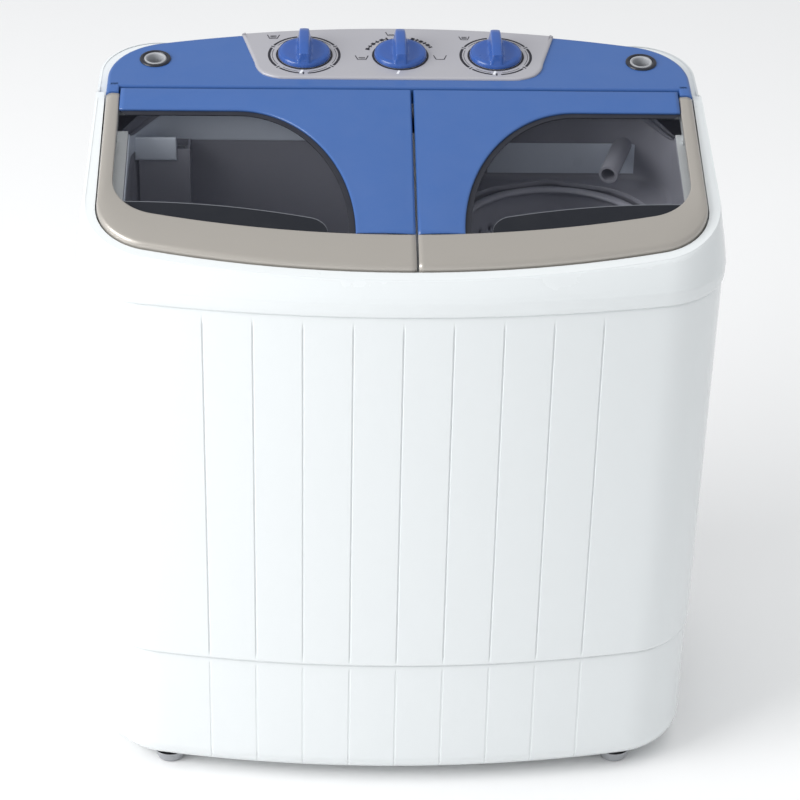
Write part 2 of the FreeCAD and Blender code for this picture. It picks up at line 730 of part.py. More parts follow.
def cord_gland():
    """Rubber bush where the supply lead passes through the back."""
    sleeve = rod(GLAND_R, V(GLAND_X, BASE_BACK - 10, GLAND_Z), V(GLAND_X, BASE_BACK, GLAND_Z))
    flange = rod(GLAND_R + 3.5, V(GLAND_X, BASE_BACK, GLAND_Z), V(GLAND_X, BASE_BACK + 3, GLAND_Z))
    bore = rod(3.6, V(GLAND_X, BASE_BACK - 12, GLAND_Z), V(GLAND_X, BASE_BACK + 5, GLAND_Z))
    return sleeve.fuse(flange).cut(bore).removeSplitter()


# ---- wash drive ------------------------------------------------------------------------
def bearing_housing():
    """Flanged housing under the wash tub with the pulsator shaft running through it."""
    z_top = WASH_FLOOR - TUB_WALL
    flange = rod(45.0, V(WASH_CX, WASH_CY, z_top - 5), V(WASH_CX, WASH_CY, z_top))
    barrel = rod(22.0, V(WASH_CX, WASH_CY, 155.0), V(WASH_CX, WASH_CY, z_top))
    spigot = rod(15.0, V(WASH_CX, WASH_CY, z_top), V(WASH_CX, WASH_CY, WASH_FLOOR + 2.0))
    bore = rod(SHAFT_R + RUN, V(WASH_CX, WASH_CY, 100), V(WASH_CX, WASH_CY, 300))
    return fused([flange, barrel, spigot]).cut(bore)


def pulsator():
    """Shallow dished disc with three round vanes."""
    z = PULSATOR_Z
    disc = Part.makeCone(PULSATOR_R, PULSATOR_R - 6.0, 5.0, V(WASH_CX, WASH_CY, z), Z_AXIS)
    hub = Part.makeCone(30.0, 14.0, PULSATOR_H, V(WASH_CX, WASH_CY, z + 4.0), Z_AXIS)
    pieces = [disc, hub]
    vanes = 3
    for i in range(vanes):
        a = 2 * math.pi * i / vanes
        tip = V(WASH_CX + 66.0 * math.cos(a), WASH_CY + 66.0 * math.sin(a), z + 4.0)
        pieces.append(rod(7.0, V(WASH_CX, WASH_CY, z + 8.0), tip))
        pieces.append(Part.makeSphere(7.0, tip))
    body = fused(pieces).cut(block((-FAR, FAR), (-FAR, FAR), (0, z)))
    return body.cut(rod(SHAFT_R, V(WASH_CX, WASH_CY, z - 1), V(WASH_CX, WASH_CY, z + 12)))


def pulsator_shaft():
    return rod(SHAFT_R, V(WASH_CX, WASH_CY, PULLEY_Z - 4), V(WASH_CX, WASH_CY, PULSATOR_Z + 12.0))


def grooved_pulley(r, x, y, bore):
    """Wheel with a belt groove, drawn as two flanges and a core."""
    z = PULLEY_Z
    core = rod(r - BELT_T, V(x, y, z), V(x, y, z + PULLEY_H))
    low = rod(r, V(x, y, z), V(x, y, z + 2.5))
    high = rod(r, V(x, y, z + PULLEY_H - 2.5), V(x, y, z + PULLEY_H))
    wheel = fused([core, low, high])
    if bore > 0:
        wheel = wheel.cut(rod(bore, V(x, y, z - 1), V(x, y, z + PULLEY_H + 1)))
    return wheel


def drive_pulley():
    wheel = grooved_pulley(BIG_PULLEY_R, WASH_CX, WASH_CY, SHAFT_R)
    holes = 5
    for i in range(holes):
        a = 2 * math.pi * i / holes
        x = WASH_CX + 36.0 * math.cos(a)
        y = WASH_CY + 36.0 * math.sin(a)
        wheel = wheel.cut(rod(12.0, V(x, y, 100), V(x, y, 160)))
    return wheel


def motor_pulley():
    """Small pulley and the motor's own shaft, which it is fixed to."""
    wheel = grooved_pulley(SMALL_PULLEY_R, MOTOR_X, MOTOR_Y, 0)
    shaft = rod(5.0, V(MOTOR_X, MOTOR_Y, PULLEY_Z + PULLEY_H), V(MOTOR_X, MOTOR_Y, 232.0))
    return wheel.fuse(shaft).removeSplitter()


def belt_loop(inset, z0, z1):
    """Solid bounded by the two pulleys and their outer tangents."""
    ra = BIG_PULLEY_R - BELT_T + inset
    rb = SMALL_PULLEY_R - BELT_T + inset
    a = V(WASH_CX, WASH_CY, z0)
    b = V(MOTOR_X, MOTOR_Y, z0)
    d = b.sub(a)
    base = math.atan2(d.y, d.x)
    lean = math.acos((ra - rb) / d.Length)

    def at(c, r, ang):
        return V(c.x + r * math.cos(ang), c.y + r * math.sin(ang), z0)

    wire = Part.Wire([
        line(at(a, ra, base + lean), at(b, rb, base + lean)),
        arc(at(b, rb, base + lean), at(b, rb, base), at(b, rb, base - lean)),
        line(at(b, rb, base - lean), at(a, ra, base - lean)),
        arc(at(a, ra, base - lean), at(a, ra, base + math.pi), at(a, ra, base + lean)),
    ])
    return prism(wire, z1 - z0)


def drive_belt():
    z0 = PULLEY_Z + 2.8
    z1 = PULLEY_Z + PULLEY_H - 2.8
    clear = 0.3
    return belt_loop(BELT_T - 0.6, z0, z1).cut(belt_loop(clear, z0 - 1, z1 + 1))


def motor_bracket():
    """Steel plate under the wash tub that the wash motor hangs from."""
    xs = (MOTOR_X - BRACKET_HALF, MOTOR_X + BRACKET_HALF)
    ys = (MOTOR_Y - BRACKET_HALF, MOTOR_Y + BRACKET_HALF)
    plate = block(xs, ys, (BRACKET_Z, WASH_FLOOR - TUB_WALL))
    return plate.cut(rod(8.0, V(MOTOR_X, MOTOR_Y, BRACKET_Z - 1), V(MOTOR_X, MOTOR_Y, BRACKET_Z + 5)))


def wash_motor():
    """Round induction motor with its shaft downwards."""
    low = WASH_MOTOR_LOW
    high = BRACKET_Z
    can = rod(MOTOR_R, V(MOTOR_X, MOTOR_Y, low + 14), V(MOTOR_X, MOTOR_Y, high - 12))
    caps = []
    for z0, z1 in ((low, low + 14), (high - 12, high)):
        caps.append(rod(MOTOR_R - 9, V(MOTOR_X, MOTOR_Y, z0), V(MOTOR_X, MOTOR_Y, z1)))
    body = fused([can] + caps)
    bore = rod(5.0 + RUN, V(MOTOR_X, MOTOR_Y, 100), V(MOTOR_X, MOTOR_Y, 232.2))
    return body.cut(bore)


# ---- spin drive ------------------------------------------------------------------------


def spin_basket():
    """Perforated drum with a rolled rim and a central hub."""
    c = V(SPIN_CX, SPIN_CY, 0)
    z0, z1 = BASKET_FLOOR, BASKET_TOP
    drum = rod(BASKET_R, c.add(V(0, 0, z0)), c.add(V(0, 0, z1)))
    drum = drum.cut(rod(BASKET_R - BASKET_WALL, c.add(V(0, 0, z0 + 3)), c.add(V(0, 0, z1 + 1))))
    rim = tube(BASKET_R + 2.0, BASKET_R - 8.0, z1 - 4.0, z1, SPIN_CX, SPIN_CY)
    hub = Part.makeCone(26.0, 12.0, 40.0, c.add(V(0, 0, z0)), Z_AXIS)
    drum = fused([drum, rim, hub])
    drum = drum.cut(rod(SHAFT_R, c.add(V(0, 0, z0 - 1)), c.add(V(0, 0, z0 + 30))))
    holes = []
    for z in BASKET_ROWS:
        for i in range(BASKET_HOLES):
            a = 2 * math.pi * i / BASKET_HOLES
            d = V(math.cos(a), math.sin(a), 0)
            start = c.add(d.multiply(BASKET_R - 6.0)).add(V(0, 0, z))
            holes.append(Part.makeCylinder(BASKET_HOLE_R, 12.0, start, V(math.cos(a), math.sin(a), 0)))
    return drum.cut(holes)


def spin_shaft():
    """Shaft from the motor's rotor up to the basket hub."""
    c = V(SPIN_CX, SPIN_CY, 0)
    return rod(SHAFT_R, c.add(V(0, 0, 60.0)), c.add(V(0, 0, BASKET_FLOOR + 30.0)))


def brake_disc():
    """Coupling disc on the spin shaft that the brake shoe bears on."""
    disc = rod(BRAKE_R, V(SPIN_CX, SPIN_CY, BRAKE_Z[0]), V(SPIN_CX, SPIN_CY, BRAKE_Z[1]))
    hub = rod(14.0, V(SPIN_CX, SPIN_CY, BRAKE_Z[0] - 8), V(SPIN_CX, SPIN_CY, BRAKE_Z[1] + 14))
    bore = rod(SHAFT_R, V(SPIN_CX, SPIN_CY, 100), V(SPIN_CX, SPIN_CY, 250))
    return fused([disc, hub]).cut(bore)


def spin_shaft_seal():
    """Rubber bellows seal in the floor of the spin tub."""
    z0 = SPIN_TUB_FLOOR - TUB_WALL
    sleeve = rod(SEAL_R, V(SPIN_CX, SPIN_CY, z0 - 12), V(SPIN_CX, SPIN_CY, SPIN_TUB_FLOOR))
    seat = V(SPIN_CX, SPIN_CY, SPIN_TUB_FLOOR)
    flange = rod(SEAL_R + 6.0, seat, seat.add(V(0, 0, 3.0)))
    bore = rod(SHAFT_R + RUN, V(SPIN_CX, SPIN_CY, 200), V(SPIN_CX, SPIN_CY, 300))
    return fused([sleeve, flange]).cut(bore)


def spin_motor():
    low, high = SPIN_MOTOR_Z
    can = rod(SPIN_MOTOR_R, V(SPIN_CX, SPIN_CY, low + 16), V(SPIN_CX, SPIN_CY, high - 16))
    foot = rod(SPIN_MOTOR_R + 4.0, V(SPIN_CX, SPIN_CY, low), V(SPIN_CX, SPIN_CY, low + 4))
    caps = [rod(SPIN_MOTOR_R - 12, V(SPIN_CX, SPIN_CY, low), V(SPIN_CX, SPIN_CY, high))]
    body = fused([can, foot] + caps)
    return body.cut(rod(SHAFT_R + RUN, V(SPIN_CX, SPIN_CY, 59.8), V(SPIN_CX, SPIN_CY, 200)))


def mount_spots():
    """Centres of the three soft mounts under the spin motor."""
    spots = []
    for i in range(3):
        a = math.radians(90.0 + 120.0 * i)
        spots.append(V(SPIN_CX + MOUNT_PCD * math.cos(a), SPIN_CY + MOUNT_PCD * math.sin(a), 0))
    return spots


def spin_motor_mounts():
    pieces = []
    floor = Z_FOOT + WALL
    for p in mount_spots():
        low = Part.makeCone(13.0, 9.0, 18.0, p.add(V(0, 0, floor)), Z_AXIS)
        waist = p.add(V(0, 0, floor + 18.0))
        high = Part.makeCone(9.0, 12.0, SPIN_MOTOR_Z[0] - waist.z, waist, Z_AXIS)
        pieces.append(low.fuse(high).removeSplitter())
    return Part.makeCompound(pieces)


def brake_bracket():
    """Upright post from the base floor that carries the brake lever's pivot pin."""
    px, py = BRAKE_PIVOT
    post = block((px - 7, px + 7), (py - 7, py + 7), (Z_FOOT + WALL, BRAKE_Z[0] - 0.5))
    pin = rod(BRAKE_PIN_R, V(px, py, BRAKE_Z[0] - 0.5), V(px, py, BRAKE_Z[1] + 3.0))
    return fused([post, pin])


def brake_lever():
    """Lever with a curved shoe beside the brake disc."""
    px, py = BRAKE_PIVOT
    eye = rod(8.0, V(px, py, BRAKE_Z[0]), V(px, py, BRAKE_Z[1]))
    arm = block((px - 4, px + 4), (py, py + 78.0), BRAKE_Z)
    shoe = block((px, SPIN_CX - 20), (py + 22, py + 66), (BRAKE_Z[0] + 1, BRAKE_Z[1] - 1))
    shoe = shoe.cut(rod(BRAKE_R + BRAKE_GAP, V(SPIN_CX, SPIN_CY, 100), V(SPIN_CX, SPIN_CY, 250)))
    bore = rod(BRAKE_PIN_R + RUN, V(px, py, 100), V(px, py, 250))
    return fused([eye, arm, shoe]).cut(bore)


# ---- control panel ---------------------------------------------------------------------
def console_wings(gap, t0, t1):
    """Forward corners of the console, beside the rear ends of the lid trim."""
    wings = []
    for side in (-1, 1):
        xs = sorted((side * (LID_HALF_W - TRIM_SIDE + 1.0), side * (LID_HALF_W + gap)))
        wings.append(block(xs, (-TRIM_END + 2 * SEAM_HALF_GAP - gap, SEAM_HALF_GAP + 4.0), (t0, t1)))
    return wings


def control_console():
    """Blue hollow housing behind the lids, closed above."""
    body = prism(console_plan(0.0), CONSOLE_DEPTH)
    cavity = prism(outline(LID_HALF_W - WALL, -CONSOLE_REAR + WALL, -SEAM_HALF_GAP - WALL, CONSOLE_BOW,
                           CONSOLE_CORNER - WALL, 0), CONSOLE_DEPTH - CONSOLE_TOP)
    cavity.rotate(ORIGIN, Z_AXIS, 180)
    body.translate(V(0, 0, -CONSOLE_DEPTH))
    cavity.translate(V(0, 0, -CONSOLE_DEPTH))
    body = body.fuse(console_wings(0.0, -CONSOLE_TOP - 2.0, 0.0))
    body = body.cut(cavity)
    for x in KNOB_X:
        body = body.cut(rod(TIMER_BUSH_R, V(x, KNOB_Y, -10), V(x, KNOB_Y, 5)))
    for x in (-INLET_X, INLET_X):
        body = body.cut(rod(INLET_SLEEVE_R, V(x, INLET_Y, -10), V(x, INLET_Y, 5)))
    return on_console(body.removeSplitter())


def control_fascia():
    """Raised metallic plate behind the knobs."""
    low_y, side_y, top_y, mid_y = 14.5, 44.0, 94.5, 106.5
    low_x, side_x, top_x = 108.0, 138.0, 151.0
    bulge_x, bulge_y = 129.5, 22.5
    wire = Part.Wire([
        line(V(-low_x, low_y, 0), V(low_x, low_y, 0)),
        arc(V(low_x, low_y, 0), V(bulge_x, bulge_y, 0), V(side_x, side_y, 0)),
        line(V(side_x, side_y, 0), V(top_x, top_y, 0)),
        arc(V(top_x, top_y, 0), V(0, mid_y, 0), V(-top_x, top_y, 0)),
        line(V(-top_x, top_y, 0), V(-side_x, side_y, 0)),
        arc(V(-side_x, side_y, 0), V(-bulge_x, bulge_y, 0), V(-low_x, low_y, 0)),
    ])
    plate = prism(wire, FASCIA_T)
    for x in KNOB_X:
        plate = plate.cut(rod(TIMER_BUSH_R, V(x, KNOB_Y, -10), V(x, KNOB_Y, 10)))
    return on_console(plate)


def inlet_ring(x):
    """Collar of a water inlet, pushed into the console top."""
    flange = rod(INLET_FLANGE_R, V(x, INLET_Y, 0), V(x, INLET_Y, 1.5))
    sleeve = rod(INLET_SLEEVE_R, V(x, INLET_Y, -20.0), V(x, INLET_Y, 0))
    bore = rod(INLET_R, V(x, INLET_Y, -25), V(x, INLET_Y, 5))
    return on_console(fused([flange, sleeve]).cut(bore))


def inlet_elbow(x, r, stretch):
    """Pipe shape from an inlet collar forward to the tub behind which it ends."""
    top = V(x, INLET_Y, -20.0 + stretch)
    corner = V(x, INLET_Y, -PIPE_DROP)
    front = V(x, -12.0, -PIPE_DROP)
    return on_console(bent_pipe([top, corner, front], r))


def wash_pipe_core():
    """Hole in the wash tub's rear wall where its inlet pipe ends."""
    core = inlet_elbow(-INLET_X, PIPE_BORE, 0.0)
    return core.common(block((-FAR, FAR), (WASH_Y[1] - 1, WASH_Y[1] + TUB_WALL + 1), (0, FAR)))


def wash_inlet_pipe():
    pipe = inlet_elbow(-INLET_X, PIPE_R, 0.0).cut(inlet_elbow(-INLET_X, PIPE_BORE, 1.0))
    return pipe.cut(block((-FAR, FAR), (-FAR, WASH_Y[1] + TUB_WALL), (0, FAR)))


def spout_start():
    """Point behind the spin tub's rear wall where the rinse spout begins, on the inlet's axis."""
    corner = Part.Vertex(INLET_X, INLET_Y, -PIPE_DROP)
    return on_console(corner).Point


def spout_core():
    """Hole in the spin tub's rear wall for the spout."""
    return rod(SPOUT_R, spout_start(), SPOUT_TIP)


def spin_rinse_spout():
    """Pipe from the spin side's inlet that ends over the basket."""
    start = spout_start()
    leg = on_console(rod(SPOUT_R, V(INLET_X, INLET_Y, -PIPE_DROP), V(INLET_X, INLET_Y, -20.0)))
    bore = on_console(rod(SPOUT_BORE, V(INLET_X, INLET_Y, -PIPE_DROP), V(INLET_X, INLET_Y, -19.0)))
    arm = rod(SPOUT_R, start, SPOUT_TIP)
    run = SPOUT_TIP.sub(start)
    arm_bore = rod(SPOUT_BORE, start, SPOUT_TIP.add(run.multiply(0.05)))
    body = fused([leg, Part.makeSphere(SPOUT_R, start), arm])
    body = body.cut([bore, Part.makeSphere(SPOUT_BORE, start), arm_bore])
    return body


def knob_control(x, size):
    """Control body under the console top with the bush that its shaft turns in."""
    w, d, h = size
    case = block((x - w / 2, x + w / 2), (KNOB_Y - d / 2, KNOB_Y + d / 2), (-CONSOLE_TOP - h, -CONSOLE_TOP))
    bush = rod(TIMER_BUSH_R, V(x, KNOB_Y, -CONSOLE_TOP), V(x, KNOB_Y, FASCIA_T))
    bore = rod(KNOB_SHAFT_R + RUN, V(x, KNOB_Y, -18), V(x, KNOB_Y, 10))
    return on_console(fused([case, bush]).cut(bore))


def knob(x):
    """Round knob with an upright blade grip and a blind bore for the shaft."""
    z0 = FASCIA_T + KNOB_LIFT
    z1 = z0 + KNOB_DISC
    disc = Part.makeCone(KNOB_R, KNOB_R - 1.5, KNOB_DISC, V(x, KNOB_Y, z0), Z_AXIS)
    reach = KNOB_R - 1.8
    plan = round_rect((x - GRIP_W / 2, x + GRIP_W / 2), (KNOB_Y - reach, KNOB_Y + reach), 4.0, z1 - 1)
    grip = prism(plan, GRIP_H + 1)
    body = disc.fuse(grip)
    bore = rod(KNOB_SHAFT_R, V(x, KNOB_Y, z0 - 1), V(x, KNOB_Y, z0 + 10.0))
    return on_console(body.cut(bore).removeSplitter())


def knob_shaft(x):
    top = FASCIA_T + KNOB_LIFT + 10.0
    return on_console(rod(KNOB_SHAFT_R, V(x, KNOB_Y, -17.5), V(x, KNOB_Y, top)))


def buzzer():
    """End-of-cycle bell hanging under the console."""
    p = V(-165.0, 60.0, -CONSOLE_TOP)
    return on_console(rod(16.0, p.add(V(0, 0, -14.0)), p))


def capacitors():
    """Two motor capacitors clipped to the base floor."""
    floor = Z_FOOT + WALL
    pieces = []
    for x in (-120.0, -70.0):
        pieces.append(rod(18.0, V(x, 110.0, floor), V(x, 110.0, floor + 75.0)))
    return Part.makeCompound(pieces)


# ---- lids ------------------------------------------------------------------------------
def lid_side(name):
    """Half of the lid plane that one lid fills."""
    edge = SPLIT_GAP / 2.0
    if name == "wash":
        return block((-FAR, LID_SPLIT_X - edge), (-FAR, -SEAM_HALF_GAP), (-FAR, FAR))
    return block((LID_SPLIT_X + edge, FAR), (-FAR, -SEAM_HALF_GAP), (-FAR, FAR))


def flat_outline(half_w, front, corner, t0, t1):
    flat = prism(outline(half_w, front, 0.0, LID_BOW, corner, 0), t1 - t0)
    flat.translate(V(0, 0, t0))
    return flat


def trim_inside(t0, t1):
    return flat_outline(LID_HALF_W - TRIM_SIDE, LID_FRONT + TRIM_FRONT, TRIM_INNER_CORNER, t0, t1)


def window_area(name, lip, t0, t1):
    """Area of one window, widened by a lip, bounded by an elliptical inner edge."""
    index = 0 if name == "wash" else 1
    cx = WINDOW_CURVE_X[index]
    way = 1.0 if name == "wash" else -1.0
    a = WINDOW_CURVE_A + lip
    b = WINDOW_CURVE_B + lip
    face = Part.Face(Part.Wire([ellipse_edge(cx, WINDOW_CURVE_Y, a, b, t0)]))
    bulge = face.extrude(V(0, 0, t1 - t0))
    near = sorted((cx, cx + way * a))
    outer_x = sorted((cx, cx - way * 200.0))
    bulge = bulge.common(block(near, (WINDOW_CURVE_Y, 0), (t0, t1)))
    side = block(outer_x, (-FAR, WINDOW_TOP + lip), (t0, t1))
    below = block(near, (-FAR, WINDOW_CURVE_Y), (t0, t1))
    return fused([bulge, side, below])


def ellipse_edge(cx, cy, a, b, z):
    """Upright ellipse with half axes a across and b along, b the longer one."""
    top = V(cx, cy + b, z)
    right = V(cx + a, cy, z)
    centre = V(cx, cy, z)
    return Part.Ellipse(top, right, centre).toShape()


def rear_chamfer():
    """Bevel along the rear top edge of both lids, so that they clear the console as they open."""
    y = -SEAM_HALF_GAP
    c = SEAM_CHAMFER
    top = 0.01
    start = V(-FAR, y - c, top)
    wire = Part.makePolygon([start, V(-FAR, y + 1, top), V(-FAR, y + 1, -c - 1), V(-FAR, y, -c), start])
    return Part.Face(wire).extrude(V(2 * FAR, 0, 0))


def lugs(name):
    """Blocks under the panel that hold the hinge pins."""
    pieces = []
    for x0, x1 in lug_spans(name):
        lug = block((x0, x1), (PIN_Y - LUG_HALF, PIN_Y + LUG_HALF), (-PIN_DROP - LUG_HALF, -PLATE))
        pieces.append(lug.cut(rod(PIN_R, V(x0 - 1, PIN_Y, -PIN_DROP), V(x1 + 1, PIN_Y, -PIN_DROP))))
    return pieces


def lid_ears(name):
    spans = ear_spans()
    return spans[:2] if name == "wash" else spans[2:]


def lug_spans(name):
    """The lug stands beside its ear, on the side away from the lid's end."""
    spans = []
    for x0, x1, side in lid_ears(name):
        if side > 0:
            spans.append((x1 + EAR_GAP, x1 + EAR_GAP + LUG_WIDTH))
        else:
            spans.append((x0 - EAR_GAP - LUG_WIDTH, x0 - EAR_GAP))
    return spans


def lid_panel(name):
    """Blue panel with the window cut out and a stiffening rib at the split."""
    panel = trim_inside(-PLATE, 0.0).common(lid_side(name))
    panel = panel.cut(window_area(name, 0.0, -PLATE - 1, 1.0))
    panel = panel.cut(rear_chamfer())
    way = -1 if name == "wash" else 1
    near = LID_SPLIT_X + way * SPLIT_GAP / 2.0
    rib_x = sorted((near, near + way * 2.0))
    rib = block(rib_x, (-195.0, -40.0), (-8.0, -PLATE))
    return on_lid(fused([panel, rib] + lugs(name)))


def lid_window(name):
    """Smoked pane held under the panel and the front trim."""
    pane = window_area(name, LIP_UNDER_PANEL, -2 * PLATE, -PLATE)
    lip_side = 2.0
    lip_front = 8.0
    bound = flat_outline(LID_HALF_W - TRIM_SIDE + lip_side, LID_FRONT + TRIM_FRONT - lip_front,
                         TRIM_INNER_CORNER, -10, 0)
    return on_lid(pane.common(bound))


def lid_trim(name):
    """Metallic trim along the outer side and the front, with a skirt down the edge."""
    outer = flat_outline(LID_HALF_W, LID_FRONT, LID_CORNER, -TRIM_DEPTH, 0.0)
    hollow = flat_outline(LID_HALF_W - TRIM_SKIRT, LID_FRONT + TRIM_SKIRT, LID_CORNER - TRIM_SKIRT,
                          -TRIM_DEPTH - 1, -PLATE)
    trim = outer.cut(hollow).cut(trim_inside(-PLATE - 1, 1.0))
    trim = trim.common(lid_side(name))
    trim = trim.cut(block((-FAR, FAR), (-TRIM_END, 10), (-FAR, FAR)))
    bevel = rear_chamfer()
    bevel.translate(V(0, -TRIM_END + SEAM_HALF_GAP, 0))
    return on_lid(trim.cut(bevel).removeSplitter())


def lid_pins(name):
    """Two steel pins on the hinge line."""
    pins = []
    for ear, lug in zip(lid_ears(name), lug_spans(name)):
        x0 = min(ear[0], lug[0])
        x1 = max(ear[1], lug[1])
        pins.append(rod(PIN_R, V(x0, PIN_Y, -PIN_DROP), V(x1, PIN_Y, -PIN_DROP)))
    return on_lid(Part.makeCompound(pins))


# ---- all nodes -------------------------------------------------------------------------
save("base_housing", base_housing())
save("bottom_cover", bottom_cover())
save("feet", feet())
save("cabinet_shell", cabinet_shell())
save("back_panel", back_panel())
save("back_panel_screws", back_panel_screws())
save("top_frame", top_frame())
save("hose_hanger", hose_hanger())
save("wash_tub", wash_tub())
save("spin_outer_tub", spin_outer_tub())
save("lint_filter_housing", lint_filter_housing())
save("lint_filter", lint_filter())
save("overflow_pipe", overflow_pipe())
save("drain_valve_body", drain_valve_body())
save("drain_plug", drain_plug())
save("valve_bellows", valve_bellows())
save("drain_pipe", drain_pipe())
save("drain_outlet", drain_outlet())
save("cord_gland", cord_gland())
save("bearing_housing", bearing_housing())
save("pulsator", pulsator())
save("pulsator_shaft", pulsator_shaft())
save("drive_pulley", drive_pulley())
save("motor_pulley", motor_pulley())
save("drive_belt", drive_belt())
save("motor_bracket", motor_bracket())
save("wash_motor", wash_motor())
save("spin_basket", spin_basket())
save("spin_shaft", spin_shaft())
save("brake_disc", brake_disc())
save("spin_shaft_seal", spin_shaft_seal())
save("spin_motor", spin_motor())
save("spin_motor_mounts", spin_motor_mounts())
save("brake_bracket", brake_bracket())
save("brake_lever", brake_lever())
save("control_console", control_console())
save("control_fascia", control_fascia())
save("wash_inlet_ring", inlet_ring(-INLET_X))
save("spin_inlet_ring", inlet_ring(INLET_X))
save("wash_inlet_pipe", wash_inlet_pipe())
save("spin_rinse_spout", spin_rinse_spout())
save("buzzer", buzzer())
save("capacitors", capacitors())

CONTROLS = (("wash_timer", TIMER_BOX), ("program_selector", SELECTOR_BOX), ("spin_timer", TIMER_BOX))
for (control, size), x in zip(CONTROLS, KNOB_X):
    save(control, knob_control(x, size))
    save(control + "_shaft", knob_shaft(x))
    save(control + "_knob", knob(x))

for lid in ("wash", "spin"):
    save(lid + "_lid_panel", lid_panel(lid))
    save(lid + "_lid_window", lid_window(lid))
    save(lid + "_lid_trim", lid_trim(lid))
    save(lid + "_lid_pins", lid_pins(lid))
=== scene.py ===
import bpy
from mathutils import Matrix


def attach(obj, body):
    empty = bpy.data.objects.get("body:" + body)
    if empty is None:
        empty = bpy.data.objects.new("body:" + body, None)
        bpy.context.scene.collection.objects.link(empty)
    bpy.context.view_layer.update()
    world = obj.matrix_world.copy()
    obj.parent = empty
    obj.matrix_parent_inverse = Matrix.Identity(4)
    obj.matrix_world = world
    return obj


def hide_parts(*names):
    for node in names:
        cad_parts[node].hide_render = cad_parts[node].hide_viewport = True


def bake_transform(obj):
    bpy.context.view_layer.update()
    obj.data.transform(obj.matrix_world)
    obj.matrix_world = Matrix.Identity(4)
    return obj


bl_info = {
    "name": "Mini Twin Tub Washer",
    "version": (1, 0, 0),
    "blender": (4, 5, 0),
    "location": "3D View > Sidebar > Washer",
    "description": "Skins, finishes and stage for a mini twin tub washing machine",
    "category": "Object",
}

import math

import bmesh
import bpy
import numpy as np
from mathutils import Matrix

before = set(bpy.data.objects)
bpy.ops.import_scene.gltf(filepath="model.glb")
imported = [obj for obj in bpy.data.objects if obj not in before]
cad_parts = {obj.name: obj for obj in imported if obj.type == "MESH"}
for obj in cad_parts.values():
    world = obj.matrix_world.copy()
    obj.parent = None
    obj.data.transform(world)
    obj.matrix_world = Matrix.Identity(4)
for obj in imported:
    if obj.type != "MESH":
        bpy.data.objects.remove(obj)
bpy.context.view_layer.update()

MM = 0.001
SEAM_Y, SEAM_Z = 70.0, 642.0
LID_TILT = math.radians(15.6)
CONSOLE_TILT = math.radians(7.6)
SPLIT_X = 11.5
TRIM_END = 11.0
HINGE_Y, HINGE_Z, LID_SWING = 48.8, 628.8, 25.2
PANEL_HALF = 263.0
INLET_X, INLET_Y = 232.5, 49.0
KNOB_X, KNOB_Y, KNOB_R = (-90.5, 1.5, 93.0), 55.0, 25.0
FASCIA_TOP, MARKS_UP = 2.5, 2.62
FRONT_STEPS, CORNER_STEPS = 48, 26
PIN_S, EYE_R = 24.0, 3.5
WINDOW_R = 109.0
SKIN = 0.35
GROOVE_HALF, CORE_HALF = 1.2, 195.0
BODY_BOW, BODY_CORNER = 1165.0, 75.0
REAR_FLAT, REAR_CORNER = 1.0e5, 55.0
WASH_X, WASH_Y, WASH_CENTRE = (-254.0, -8.0), (-128.0, 72.0), (-131.0, -28.0)
SPIN_X, SPIN_Y, SPIN_CENTRE = (31.0, 258.0), (-140.0, 72.0), (145.0, -34.0)
TUB_CORNER = 45.0


# ---- surfaces ---------------------------------------------------------------------------
def tilted(x, back, up, angle):
    """Point of a sloping plane: back along the slope and up along its normal, from the seam line."""
    x, back, up = np.broadcast_arrays(x, back, up)
    y = SEAM_Y + back * math.cos(angle) - up * math.sin(angle)
    z = SEAM_Z + back * math.sin(angle) + up * math.cos(angle)
    return np.stack([x, y, z], axis=-1)


def on_lid(x, down, up):
    return tilted(x, -np.asarray(down), up, LID_TILT)


def on_console(x, back, up):
    return tilted(x, back, up, CONSOLE_TILT)


def spread(a, b, n):
    """n steps from a to b, a left out."""
    return a + (b - a) * np.arange(1, n + 1) / n


def ease(x, low, high):
    """Smooth step from 0 at low to 1 at high: 3 q squared less 2 q cubed."""
    q = np.clip((x - low) / (high - low), 0.0, 1.0)
    return q * q * (3.0 - 2.0 * q)


def corner_fit(half_w, face, bow, r):
    """Centre of a corner circle that touches the side and the bowed face, and where it leaves the bow."""
    cx = half_w - r
    cy = face + bow - np.sqrt((bow - r) ** 2 - cx ** 2)
    k = bow / (bow - r)
    return cx, cy, cx * k, face + bow + (cy - face - bow) * k


def half_plan(half_w, front, back, bow, r, rear_bow, rear_r, core):
    """Right half of a plan from front centre to back centre: bow arc, corner arc, straight, corner, bow."""
    half_w, front, back, r = np.broadcast_arrays(half_w, front, back, r)
    cx, cy, tx, ty = corner_fit(half_w, front, bow, r)
    x0 = core + 0 * tx
    x1 = core[-1] + (tx - core[-1]) * spread(0.0, 1.0, 7)
    xf = np.hstack([x0, x1])
    yf = front + bow - np.sqrt(bow ** 2 - xf ** 2)
    a = np.arctan2(ty - cy, tx - cx) * (1.0 - spread(0.0, 1.0, 24))
    xc, yc = cx + r * np.cos(a), cy + r * np.sin(a)
    gx, gy, sx, sy = corner_fit(half_w, -back, rear_bow, rear_r)
    q = spread(0.0, 1.0, 14)
    ys = cy + (-gy - cy) * q
    b = -np.arctan2(sy - gy, sx - gx) * spread(0.0, 1.0, 20)
    xb, yb = gx + rear_r * np.cos(b), -gy + rear_r * np.sin(b)
    xe = sx * (1.0 - spread(0.0, 1.0, 14))
    ye = back - rear_bow + np.sqrt(rear_bow ** 2 - xe ** 2)
    return np.hstack([xf, xc, half_w + 0 * ys, xb, xe]), np.hstack([yf, yc, ys, yb, ye])


def full_plan(*args):
    """Closed ring: the right half and its mirror image, counted anticlockwise from above."""
    x, y = half_plan(*args)
    return np.hstack([x, -x[:, -2:0:-1]]), np.hstack([y, y[:, -2:0:-1]])


